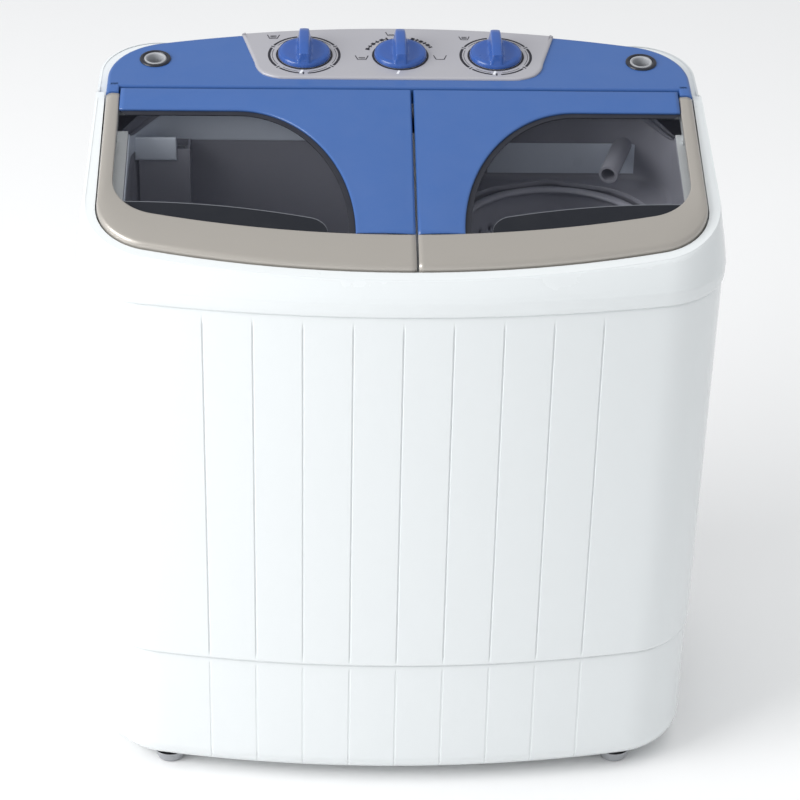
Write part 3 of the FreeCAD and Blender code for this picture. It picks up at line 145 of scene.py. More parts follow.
def column(values):
    return np.asarray(values, dtype=float)[:, None]


def rounded_box(xs, ys, r, n=16):
    """Ring of a rectangle with round corners, anticlockwise, r a column for one ring per row."""
    r = np.atleast_2d(r)
    a = spread(-90.0, 0.0, n) - 45.0 / n
    rows = []
    for k, (sx, sy) in enumerate(((1, -1), (1, 1), (-1, 1), (-1, -1))):
        angle = np.radians(a + 90.0 * k)
        cx = (xs[1] if sx > 0 else xs[0]) - sx * r
        cy = (ys[1] if sy > 0 else ys[0]) - sy * r
        rows.append(np.stack([cx + r * np.cos(angle), cy + r * np.sin(angle)], axis=-1))
    ring = np.concatenate(rows, axis=1)
    ends = np.concatenate([ring, ring[:, :1]], axis=1)
    mid = (ends[:, 1:] + ends[:, :-1]) / 2.0
    return np.stack([ring, mid], axis=2).reshape(ring.shape[0], -1, 2)


def quads(rows, cols, wrap, keep):
    """Corner numbers of the faces between neighbouring rows and columns."""
    i = np.arange(rows * cols).reshape(rows, cols)
    if wrap:
        i = np.hstack([i, i[:, :1]])
    f = np.stack([i[:-1, :-1], i[:-1, 1:], i[1:, 1:], i[1:, :-1]], axis=-1)
    return f.reshape(-1, 4) if keep is None else f[keep]


def piece(name, patches, finish, body, thick=0.0, sharp=40.0):
    """Mesh of one or more grids of points in mm, each (grid, wrap, keep, flip), welded where they meet.
    """
    points, faces, start = [], [], 0
    for grid, wrap, keep, flip in patches:
        rows, cols = grid.shape[:2]
        f = quads(rows, cols, wrap, keep)
        faces.append((f[:, ::-1] if flip else f) + start)
        points.append(grid.reshape(-1, 3) * MM)
        start += rows * cols
    mesh = bpy.data.meshes.new(name)
    mesh.from_pydata(np.concatenate(points).tolist(), [], np.concatenate(faces).tolist())
    bm = bmesh.new()
    bm.from_mesh(mesh)
    bmesh.ops.remove_doubles(bm, verts=bm.verts, dist=0.02 * MM)
    bmesh.ops.dissolve_degenerate(bm, edges=bm.edges, dist=0.005 * MM)
    loose = [v for v in bm.verts if not v.link_faces]
    bmesh.ops.delete(bm, geom=loose, context="VERTS")
    bm.to_mesh(mesh)
    bm.free()
    mesh.materials.append(finish)
    mesh.shade_smooth()
    mesh.set_sharp_from_angle(angle=math.radians(sharp))
    obj = bpy.data.objects.new(name, mesh)
    bpy.context.scene.collection.objects.link(obj)
    if thick:
        wall = obj.modifiers.new("wall", "SOLIDIFY")
        wall.thickness = thick * MM
        wall.offset = -1.0
        wall.use_even_offset = True
    if body:
        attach(obj, body)
    return obj


def one(grid, wrap=False, keep=None, flip=False):
    return [(grid, wrap, keep, flip)]


def turned(profile, centre, place, n=72):
    """Profile of (radius, height) turned about the axis through centre, on the plane that place gives."""
    p = np.asarray(profile, dtype=float)
    a = np.linspace(0.0, 2.0 * math.pi, n, endpoint=False)[None, :]
    x = centre[0] + p[:, :1] * np.cos(a)
    y = centre[1] + p[:, :1] * np.sin(a)
    return place(x, y, p[:, 1:] + 0 * a)


def upright(x, y, z):
    return np.stack(np.broadcast_arrays(x, y, z), axis=-1).astype(float)


# ---- shader groups and finishes -----------------------------------------------------------
def group(name, inputs, outputs):
    """Empty shader group with named sockets, its input and output nodes."""
    tree = bpy.data.node_groups.new(name, "ShaderNodeTree")
    for label, kind, value in inputs:
        s = tree.interface.new_socket(label, in_out="INPUT", socket_type="NodeSocket" + kind)
        s.default_value = value
    for label, kind in outputs:
        tree.interface.new_socket(label, in_out="OUTPUT", socket_type="NodeSocket" + kind)
    return tree, tree.nodes.new("NodeGroupInput"), tree.nodes.new("NodeGroupOutput")


def maths(tree, kind, a, b=None, clamp=False):
    node = tree.nodes.new("ShaderNodeMath")
    node.operation = kind
    node.use_clamp = clamp
    for socket, value in zip(node.inputs, (a, b)):
        if isinstance(value, (int, float)):
            socket.default_value = value
        elif value is not None:
            tree.links.new(value, socket)
    return node.outputs[0]


def blend_colours(tree, share, a, b):
    node = tree.nodes.new("ShaderNodeMix")
    node.data_type = "RGBA"
    for socket, value in ((node.inputs["Factor"], share), (node.inputs[6], a), (node.inputs[7], b)):
        if hasattr(value, "is_output"):
            tree.links.new(value, socket)
        else:
            socket.default_value = value
    return node.outputs[2]


def noise(tree, vector, scale, detail=3.0, rough=0.5):
    node = tree.nodes.new("ShaderNodeTexNoise")
    node.inputs["Detail"].default_value = detail
    node.inputs["Roughness"].default_value = rough
    if isinstance(scale, (int, float)):
        node.inputs["Scale"].default_value = scale
    else:
        tree.links.new(scale, node.inputs["Scale"])
    tree.links.new(vector, node.inputs["Vector"])
    return node.outputs["Fac"]


def moulded_group():
    """Tone drift, grain and roughness scatter of a moulded or coated surface."""
    tree, source, out = group("moulded_grain", [
        ("Vector", "Vector", (0, 0, 0)), ("Color", "Color", (1, 1, 1, 1)), ("Shade", "Color", (1, 1, 1, 1)),
        ("Drift", "Float", 0.3), ("Grain Scale", "Float", 900.0), ("Roughness", "Float", 0.3),
        ("Scatter", "Float", 0.08)], [("Color", "Color"), ("Roughness", "Float"), ("Height", "Float")])
    v = source.outputs["Vector"]
    cloud = noise(tree, v, 6.0, 4.0)
    fine = noise(tree, v, source.outputs["Grain Scale"], 2.0)
    share = maths(tree, "MULTIPLY", cloud, source.outputs["Drift"], True)
    colour = blend_colours(tree, share, source.outputs["Color"], source.outputs["Shade"])
    patchy = maths(tree, "SUBTRACT", noise(tree, v, 22.0, 5.0, 0.6), 0.5)
    rough = maths(tree, "ADD", source.outputs["Roughness"], maths(tree, "MULTIPLY", patchy,
                                                                  source.outputs["Scatter"]), True)
    tree.links.new(colour, out.inputs["Color"])
    tree.links.new(rough, out.inputs["Roughness"])
    tree.links.new(fine, out.inputs["Height"])
    return tree


def wear_group():
    """Paler, rubbed look on convex edges and a thin film of dust on faces that look up."""
    tree, source, out = group("edge_and_dust", [
        ("Vector", "Vector", (0, 0, 0)), ("Color", "Color", (1, 1, 1, 1)), ("Rubbed", "Color", (1, 1, 1, 1)),
        ("Dust Color", "Color", (0.6, 0.58, 0.55, 1)), ("Wear", "Float", 0.2), ("Dust", "Float", 0.1)],
        [("Color", "Color"), ("Dust Mask", "Float")])
    geometry = tree.nodes.new("ShaderNodeNewGeometry")
    sharp = maths(tree, "MULTIPLY", maths(tree, "SUBTRACT", geometry.outputs["Pointiness"], 0.52), 14.0,
                  True)
    speck = noise(tree, source.outputs["Vector"], 60.0, 4.0)
    edge = maths(tree, "MULTIPLY", maths(tree, "MULTIPLY", sharp, speck), source.outputs["Wear"], True)
    colour = blend_colours(tree, edge, source.outputs["Color"], source.outputs["Rubbed"])
    apart = tree.nodes.new("ShaderNodeSeparateXYZ")
    tree.links.new(geometry.outputs["Normal"], apart.inputs[0])
    lying = maths(tree, "SUBTRACT", apart.outputs["Z"], 0.35, True)
    cover = maths(tree, "MULTIPLY", noise(tree, source.outputs["Vector"], 35.0, 6.0, 0.65), lying)
    dusty = maths(tree, "MULTIPLY", cover, source.outputs["Dust"], True)
    tree.links.new(blend_colours(tree, dusty, colour, source.outputs["Dust Color"]), out.inputs["Color"])
    tree.links.new(dusty, out.inputs["Dust Mask"])
    return tree


def brushed_group():
    """Fine lines along X for a drawn or brushed metallic sheet."""
    tree, source, out = group("brushed_lines", [("Vector", "Vector", (0, 0, 0)), ("Stretch", "Float", 40.0)],
                              [("Height", "Float")])
    scale = tree.nodes.new("ShaderNodeVectorMath")
    scale.operation = "MULTIPLY"
    combine = tree.nodes.new("ShaderNodeCombineXYZ")
    combine.inputs["X"].default_value = 1.0
    tree.links.new(source.outputs["Stretch"], combine.inputs["Y"])
    tree.links.new(source.outputs["Stretch"], combine.inputs["Z"])
    tree.links.new(source.outputs["Vector"], scale.inputs[0])
    tree.links.new(combine.outputs[0], scale.inputs[1])
    tree.links.new(noise(tree, scale.outputs[0], 45.0, 4.0, 0.6), out.inputs["Height"])
    return tree


def rgba(colour):
    return (colour[0], colour[1], colour[2], 1.0)


def place_group(tree, group_tree, vector, values):
    node = tree.nodes.new("ShaderNodeGroup")
    node.node_tree = group_tree
    tree.links.new(vector, node.inputs["Vector"])
    for label, value in values.items():
        if hasattr(value, "is_output"):
            tree.links.new(value, node.inputs[label])
        else:
            node.inputs[label].default_value = value
    return node


def finish(name, colour, rough, shade=0.9, metal=0.0, coat=0.0, grain=900.0, bump=0.05, drift=0.5,
           wear=0.15, dust=0.06, brushed=0.0, scatter=0.12):
    """Material of one of the washer's finishes, from the shared groups and its own values."""
    material = bpy.data.materials.new("washer_" + name)
    material.use_nodes = True
    tree = material.node_tree
    shader = tree.nodes["Principled BSDF"]
    where = tree.nodes.new("ShaderNodeTexCoord").outputs["Object"]
    darker = tuple(c * shade for c in colour)
    grained = place_group(tree, bpy.data.node_groups["moulded_grain"], where, {
        "Color": rgba(colour), "Shade": rgba(darker), "Drift": drift, "Grain Scale": grain,
        "Roughness": rough, "Scatter": scatter})
    rubbed = tuple(min(1.0, c * 1.25 + 0.04) for c in colour)
    worn = place_group(tree, bpy.data.node_groups["edge_and_dust"], where, {
        "Color": grained.outputs["Color"], "Rubbed": rgba(rubbed), "Wear": wear, "Dust": dust})
    tree.links.new(worn.outputs["Color"], shader.inputs["Base Color"])
    dulled = maths(tree, "MULTIPLY", worn.outputs["Dust Mask"], 0.5)
    rougher = maths(tree, "ADD", grained.outputs["Roughness"], dulled, True)
    tree.links.new(rougher, shader.inputs["Roughness"])
    shader.inputs["Metallic"].default_value = metal
    shader.inputs["Coat Weight"].default_value = coat
    shader.inputs["Coat Roughness"].default_value = 0.08
    height = grained.outputs["Height"]
    if brushed:
        lines = place_group(tree, bpy.data.node_groups["brushed_lines"], where, {"Stretch": brushed})
        height = lines.outputs["Height"]
    relief = tree.nodes.new("ShaderNodeBump")
    relief.inputs["Strength"].default_value = bump
    relief.inputs["Distance"].default_value = 0.0004
    tree.links.new(height, relief.inputs["Height"])
    tree.links.new(relief.outputs["Normal"], shader.inputs["Normal"])
    return material


def smoked_sheet(name, colour, cover):
    """Tinted clear plastic: each face covers a share of what lies behind it with a dark gloss."""
    material = finish(name, colour, 0.06, shade=0.85, bump=0.01, dust=0.02, wear=0.0)
    material.node_tree.nodes["Principled BSDF"].inputs["Alpha"].default_value = cover
    return material


def look(name):
    return bpy.data.materials["washer_" + name]


# ---- settings -----------------------------------------------------------------------------
def colour_setting(label, what, value):
    return bpy.props.FloatVectorProperty(name=label, description=what, subtype="COLOR", size=3, min=0.0,
                                         max=1.0, default=value)


def length_setting(label, what, value, high=0.1):
    return bpy.props.FloatProperty(name=label, description=what, default=value, min=0.0, max=high,
                                   subtype="DISTANCE", unit="LENGTH", precision=4)


class WasherFinishes(bpy.types.PropertyGroup):
    body: colour_setting("Body", "Colour of the white cabinet and base", (0.76, 0.79, 0.80))
    panel: colour_setting("Panel", "Colour of the blue lids and console", (0.050, 0.132, 0.38))
    knob: colour_setting("Knobs", "Colour of the dial knobs", (0.032, 0.102, 0.375))
    trim: colour_setting("Trim", "Colour of the lids' metallic trim", (0.48, 0.45, 0.41))
    fascia: colour_setting("Fascia", "Colour of the plate behind the knobs", (0.47, 0.465, 0.50))
    pane: colour_setting("Panes", "Tint of the smoked windows", (0.02, 0.022, 0.035))
    tub: colour_setting("Tubs", "Colour of the moulded tubs", (0.33, 0.335, 0.38))
    # The pale collar colour is partly the moulding's own and partly painted light on the tubs' upper walls.
    collar: colour_setting("Collars", "Colour of the pale collars inside the tubs", (0.80, 0.87, 0.98))
    # This ink colour also paints the shadow ring round each knob.
    print_and_shadow_ink: colour_setting("Printed marks", "Colour of the dial marks", (0.02, 0.02, 0.03))


class WasherSizes(bpy.types.PropertyGroup):
    groove_pitch: length_setting("Groove pitch", "Spacing of the grooves down the front", 0.0448)
    groove_depth: length_setting("Groove depth", "Depth of the grooves down the front", 0.0012)
    crown: length_setting("Lid crown", "How far the lid panels and trim swell", 0.0009, 0.002)
    edge: length_setting("Edge rounding", "Rounding of the console's top edge", 0.0032, 0.006)
    hole: length_setting("Basket hole", "Height of one perforation row of the basket", 0.0118, 0.03)


class WasherStage(bpy.types.PropertyGroup):
    floor: colour_setting("Floor", "Colour of the floor", (0.96, 0.96, 0.96))
    key: bpy.props.FloatProperty(name="Key light", description="Power of the main light", default=105.0,
                                 min=0.0, max=500.0, unit="POWER")
    fill: bpy.props.FloatProperty(name="Fill light", description="Power of the light overhead", default=27.0,
                                  min=0.0, max=500.0, unit="POWER")
    air: bpy.props.FloatProperty(name="Surroundings", description="Brightness of the surroundings",
                                 default=0.62, min=0.0, max=5.0)


# ---- pieces -------------------------------------------------------------------------------
class WASHER_OT_finishes(bpy.types.Operator):
    """Make every finish and put it on the carried-over parts"""
    bl_idname = "washer.finishes"
    bl_label = "Finishes"

    def execute(self, context):
        c = context.scene.washer_finishes
        moulded_group()
        wear_group()
        brushed_group()
        finish("white_body", c.body, 0.26, coat=0.4, grain=700.0, bump=0.03, drift=0.2, shade=0.97,
               wear=0.03, scatter=0.02)
        finish("white_rim", c.body, 0.27, coat=0.3, grain=700.0, bump=0.03, drift=0.2, shade=0.97, wear=0.03,
               scatter=0.02)
        finish("tub_plastic", c.tub, 0.34, grain=500.0, bump=0.06)
        # Pale collar finish: partly pale plastic, partly painted light on the tubs' upper walls.
        finish("collar_plastic", c.collar, 0.3, grain=600.0, bump=0.04, drift=0.3)
        # Pane band and pane line: painted shade of the ledge under the front trim, and a painted highlight
        # along its edge.
        finish("pane_band", (0.013, 0.015, 0.021), 0.12, bump=0.01, wear=0.0, dust=0.03)
        finish("pane_line", (0.16, 0.17, 0.19), 0.3, bump=0.01, wear=0.0, dust=0.02)
        finish("grey_plastic", (0.36, 0.37, 0.39), 0.45, grain=500.0, bump=0.12)
        finish("filter_grey", (0.38, 0.40, 0.44), 0.42, grain=600.0, bump=0.1)
        finish("pulsator_plastic", (0.16, 0.30, 0.58), 0.32, grain=500.0, bump=0.08)
        finish("basket_plastic", tuple(min(1.0, v * 1.5) for v in c.tub), 0.33, grain=500.0, bump=0.06)
        finish("blue_plastic", c.panel, 0.30, shade=0.88, coat=0.15, grain=1100.0, bump=0.10, drift=0.6)
        finish("blue_knob", c.knob, 0.28, shade=0.9, coat=0.25, grain=1100.0, bump=0.05)
        finish("silver_fascia", c.fascia, 0.42, metal=0.2, grain=1500.0, bump=0.06, brushed=30.0)
        finish("champagne_trim", c.trim, 0.34, metal=0.35, grain=1500.0, bump=0.08, coat=0.1)
        smoked_sheet("smoked_pane", c.pane, 0.15)
        # Dark finish of the inlet collars, also used for the painted-shade border round each window.
        finish("dark_collar", (0.018, 0.02, 0.03), 0.35, grain=800.0, bump=0.1, wear=0.3)
        finish("painted_steel", (0.30, 0.31, 0.33), 0.45, grain=400.0, bump=0.2, wear=0.6, dust=0.25)
        finish("zinc_steel", (0.52, 0.53, 0.55), 0.34, metal=0.9, grain=250.0, bump=0.12, drift=0.9,
               shade=0.7)
        finish("cast_grey", (0.20, 0.205, 0.215), 0.6, metal=0.4, grain=350.0, bump=0.6, wear=0.5, dust=0.2)
        finish("motor_steel", (0.30, 0.31, 0.32), 0.4, metal=0.8, grain=300.0, bump=0.15, brushed=25.0,
               dust=0.2)
        finish("black_rubber", (0.02, 0.02, 0.021), 0.7, grain=400.0, bump=0.3, wear=0.1, dust=0.25)
        finish("capacitor_can", (0.42, 0.43, 0.45), 0.3, metal=0.85, grain=300.0, bump=0.1, brushed=25.0)
        # Dial ink: the printed marks, and the painted shadow ring round each knob.
        finish("dial_ink_and_shadow", c.print_and_shadow_ink, 0.5, bump=0.02, wear=0.0, dust=0.03)
        finish("pointer_white", (0.85, 0.86, 0.88), 0.35, bump=0.02, wear=0.0, dust=0.02)
        finish("tub_shadow", (0.03, 0.032, 0.04), 0.5, bump=0.05)
        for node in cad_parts.values():
            for material_slot in node.material_slots:
                material_slot.material = look(material_slot.material.name.split(".")[0])
        return {"FINISHED"}


def body_core(pitch):
    """Columns across the front's right half, closer together where a groove runs."""
    steps = [i * pitch + d for i in range(5) for d in (-1.5, -1.2, -0.6, 0.0, 0.6, 1.2, 1.5)]
    between = [i * pitch + pitch * q for i in range(4) for q in (0.2, 0.4, 0.6, 0.8)]
    return np.array(sorted(v for v in set(steps + between + [CORE_HALF]) if v >= 0.0))


def grooves(x, pitch, depth):
    """V of the given depth at every whole number of pitches, up to four each side."""
    nearest = np.clip(np.round(x / pitch), -4, 4) * pitch
    return depth * np.clip(1.0 - np.abs(x - nearest) / GROOVE_HALF, 0.0, 1.0)


def body_wall(levels, half_w, front, back, tuck, swell, groove_share, sizes):
    """Plan ring carried up through the levels, tucked in at the seams, with V grooves down the front."""
    z, half_w, front, back = column(levels), column(half_w), column(front), column(back)
    tuck = column(tuck) - swell
    pitch, depth = sizes.groove_pitch / MM, sizes.groove_depth / MM
    x, y = full_plan(half_w - tuck, front + tuck, back - tuck, BODY_BOW, BODY_CORNER - tuck, REAR_FLAT,
                     REAR_CORNER, body_core(pitch))
    facing = (y < front + 60.0) & (np.abs(x) < 200.0)
    y = y + facing * grooves(x, pitch, depth) * column(groove_share)
    return upright(x, y, z)


def at_back(points, xs, zs):
    """Whether each point is on the back wall between the given sides and heights."""
    x, y, z = np.moveaxis(points, -1, 0)
    return (y > 150.0) & (x > xs[0]) & (x < xs[1]) & (z > zs[0]) & (z < zs[1])


class WASHER_OT_cabinet(bpy.types.Operator):
    """Cabinet skin and base skin with the grooves down the front and the rolled bottom edge"""
    bl_idname = "washer.cabinet"
    bl_label = "Cabinet"

    def execute(self, context):
        sizes = context.scene.washer_sizes
        white = look("white_body")
        z = np.array([147.3, 147.6, 148.6, 150.2, 153.0, 157.0, 250.0, 350.0, 450.0, 519.0, 523.0, 526.0,
                      531.0, 533.4, 534.4, 534.7])
        q = (z - 147.0) / (535.0 - 147.0)
        tuck = np.array([1.8, 0.8, 0.15, 0, 0, 0, 0, 0, 0, 0, 0, 0, 0, 0.15, 0.8, 1.8])
        share = ease(z, 151.0, 156.0) * (1.0 - ease(z, 520.0, 525.5))
        wall = body_wall(z, 291.5 + 2.0 * q, -174.5 - 7.5 * q, 181.0 + 0 * q, tuck, 0.0, share, sizes)
        cabinet = piece("cabinet_skin", one(wall, True), white, "cabinet", thick=3.0)
        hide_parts("cabinet_shell")

        a = np.radians(np.array([0, 8, 16, 24, 32, 40, 48, 56, 64, 72, 80, 86, 90]))
        roll = 24.0
        z = np.concatenate([[12.0, 12.0], 12.0 + roll * (1 - np.cos(a[1:])), [44.0, 60.0, 90.0, 110.0, 134.0,
                            138.0, 141.0, 143.0, 145.4, 146.4, 146.8]])
        tuck = np.concatenate([[roll + 12.0, roll], roll * (1 - np.sin(a[1:])),
                               [0, 0, 0, 0, 0, 0, 0, 0, 0.15,
                               0.8, 1.8]])
        share = ease(z, 16.0, 30.0) * (1.0 - ease(z, 136.0, 141.0))
        n = np.ones_like(z)
        wall = body_wall(z, 289.6 * n, -171.5 * n, 179.5 * n, tuck, SKIN, share, sizes)
        wall[..., 2] -= SKIN * (z[:, None] < 13.0)
        mid = (wall[:-1, :] + wall[1:, :]) / 2.0
        mid = (mid + np.roll(mid, -1, axis=1)) / 2.0
        port = at_back(mid, (160.0, 250.0), (40.0, 114.0))
        lead = at_back(mid, (-235.0, -195.0), (60.0, 112.0))
        piece("base_skin", one(wall, True, ~(port | lead)), white, "cabinet")
        return {"FINISHED"}


def rim_share(z, values):
    """Value at each height, straight between the levels of the top frame's sections."""
    levels = [500.0, 535.0, 541.0, 549.0, 580.0, 665.0, 700.0]
    return np.interp(z, levels, [values[0]] + list(values) + [values[-1]])


def rim_ring(z, out):
    """Plan ring of the top frame at height z, which may differ from point to point."""
    half_w = rim_share(z, (294.6, 295.0, 295.0, 290.0, 283.5)) + out
    front = rim_share(z, (-183.6, -184.0, -184.0, -167.5, -128.0)) - out
    back = rim_share(z, (183.6, 184.0, 184.0, 183.0, 181.5)) + out
    r = rim_share(z, (75.0, 75.0, 75.0, 69.0, 60.0)) + out
    return half_w, front, back, r


def rim_point(z, out, core):
    """Ring whose every point stands at its own height z: each is read off the section of that height."""
    half_w, front, back, r = (v.reshape(-1, 1) for v in rim_ring(z, out))
    x, y = half_plan(half_w, front, back, BODY_BOW, r, REAR_FLAT, REAR_CORNER + out, core)
    cols = z.shape[1]
    pick = np.arange(cols)
    return [v.reshape(-1, cols, cols)[:, pick, pick] for v in (x, y)]


def rim_top(y):
    """Height of the white top edge: 6 mm under the lids, easing to 18 mm under the console."""
    lid = SEAM_Z + (y - SEAM_Y) * math.tan(LID_TILT) - 6.0 / math.cos(LID_TILT)
    console = SEAM_Z + (y - SEAM_Y) * math.tan(CONSOLE_TILT) - 18.0 / math.cos(CONSOLE_TILT)
    hold = SEAM_Z - 6.0 / math.cos(LID_TILT) + 0 * y
    return np.where(y < SEAM_Y, lid, hold + (console - hold) * ease(y, SEAM_Y, SEAM_Y + 22.0))


class WASHER_OT_top_frame(bpy.types.Operator):
    """Moulded rim round the top, from the seam bead up the shoulder and over into the lid recess"""
    bl_idname = "washer.top_frame"
    bl_label = "Top frame"

    def execute(self, context):
        core = np.linspace(0.0, CORE_HALF, 40)
        cols = half_plan(*(column([v]) for v in (290.0, -170.0, 183.0)), BODY_BOW, column([70.0]), REAR_FLAT,
                         REAR_CORNER, core)[0].shape[1]
        rows = []
        for z, out in ((534.7, -2.0), (534.7, -0.8), (535.1, 0.0), (536.0, 0.35), (541.0, 0.35),
                       (545.0, 0.35), (548.4, 0.45), (549.6, 0.1)):
            x, y = rim_point(np.full((1, cols), z), out, core)
            rows.append(np.stack([x, y, np.full((1, cols), z)], axis=-1)[0])
        top = np.full((1, cols), 600.0)
        for _ in range(14):
            x, y = rim_point(top, SKIN, core)
            top = 0.4 * top + 0.6 * rim_top(y)
        for q in (0.12, 0.25, 0.4, 0.55, 0.7, 0.84, 0.94):
            z = 549.6 + (top - 549.6) * q
            x, y = rim_point(z, SKIN + 0.9 * math.sin(math.pi * q) ** 0.8, core)
            rows.append(np.stack([x, y, z], axis=-1)[0])
        for drop, inward in ((1.4, 0.0), (0.55, -0.25), (0.1, -0.7), (-0.25, -1.5), (-0.3, -2.6)):
            x, y = rim_point(top - drop, SKIN + inward, core)
            rows.append(np.stack([x, y, top - drop], axis=-1)[0])
        outer = np.stack(rows)
        wall = np.concatenate([outer, (outer * np.array([-1, 1, 1]))[:, -2:0:-1]], axis=1)
        piece("top_frame_skin", one(wall, True), look("white_rim"), "cabinet", sharp=50.0)
        return {"FINISHED"}


# ---- lids -----------------------------------------------------------------------------------
def front_curve(x0, half_w, front, r, end, bow=985.0):
    """From x0 along the bowed front, round the corner and back along the side to end, as (x, down)."""
    cx, cy, tx, ty = corner_fit(half_w, front, bow, r)
    xf = np.linspace(x0, tx, FRONT_STEPS)
    yf = front + bow - np.sqrt(bow ** 2 - xf ** 2)
    a = math.atan2(ty - cy, tx - cx) * (1.0 - spread(0.0, 1.0, CORNER_STEPS))
    ys = spread(cy, -end, 30)
    x = np.concatenate([xf, cx + r * np.cos(a), half_w + 0 * ys])
    return x, -np.concatenate([yf, cy + r * np.sin(a), ys])


def front_at(x, half_w, front):
    """How far down the bowed front and its corner lie at x."""
    fx, fs = front_curve(0.0, half_w, front, 48.0, 0.0)
    return np.interp(x, fx[:FRONT_STEPS + CORNER_STEPS], fs[:FRONT_STEPS + CORNER_STEPS])


def ruled(a, b, profile, crown):
    """Rows between two curves: each is a distance from a, or from b if negative, with a height."""
    ax, ay = a
    bx, by = b
    length = np.hypot(bx - ax, by - ay)
    rows = []
    for reach, up in profile:
        if isinstance(reach, str):
            q = np.full_like(length, float(reach))
        else:
            q = reach / length if reach >= 0 else 1.0 + reach / length
        swell = crown * np.sin(math.pi * np.clip(q, 0, 1))
        rows.append(np.stack([ax + (bx - ax) * q, ay + (by - ay) * q, up + swell], axis=-1))
    return np.stack(rows)


def to_lid(grid, side):
    return on_lid(grid[..., 0] * side, grid[..., 1], grid[..., 2])


def lid_data(name):
    """Side of the machine, split edge and ellipse centre of one lid, all measured outwards."""
    if name == "wash_lid":
        return -1, -(SPLIT_X - 1.0), 152.0
    return 1, SPLIT_X + 1.0, 164.0


def window_edge(cx, lip, turn):
    """Straight rear edge of the window and then the quarter ellipse down to the front."""
    straight = np.linspace(PANEL_HALF - 0.8 + min(lip, 2.0), cx, 26)
    phi = np.concatenate([np.linspace(0.0, turn, 22)[1:], np.linspace(turn, math.pi / 2, 26)[1:]])
    x = np.concatenate([straight, cx - (WINDOW_R + lip) * np.sin(phi), [cx - WINDOW_R - lip]])
    down = np.concatenate([33.0 - lip + 0 * straight, 200.0 - (167.0 + lip) * np.cos(phi), [200.6]])
    return x, down


def panel_edge(cx, split, turn):
    """Rear edge from the trim to the split corner, then the split line down to the front."""
    straight = np.linspace(PANEL_HALF - 0.8, cx, 26)
    rear = np.linspace(cx, split, 22)[1:]
    ahead = np.linspace(1.2, 201.4, 27)[1:]
    x = np.concatenate([straight, rear, split + 0 * ahead])
    return x, np.concatenate([1.2 + 0 * straight, 1.2 + 0 * rear, ahead])


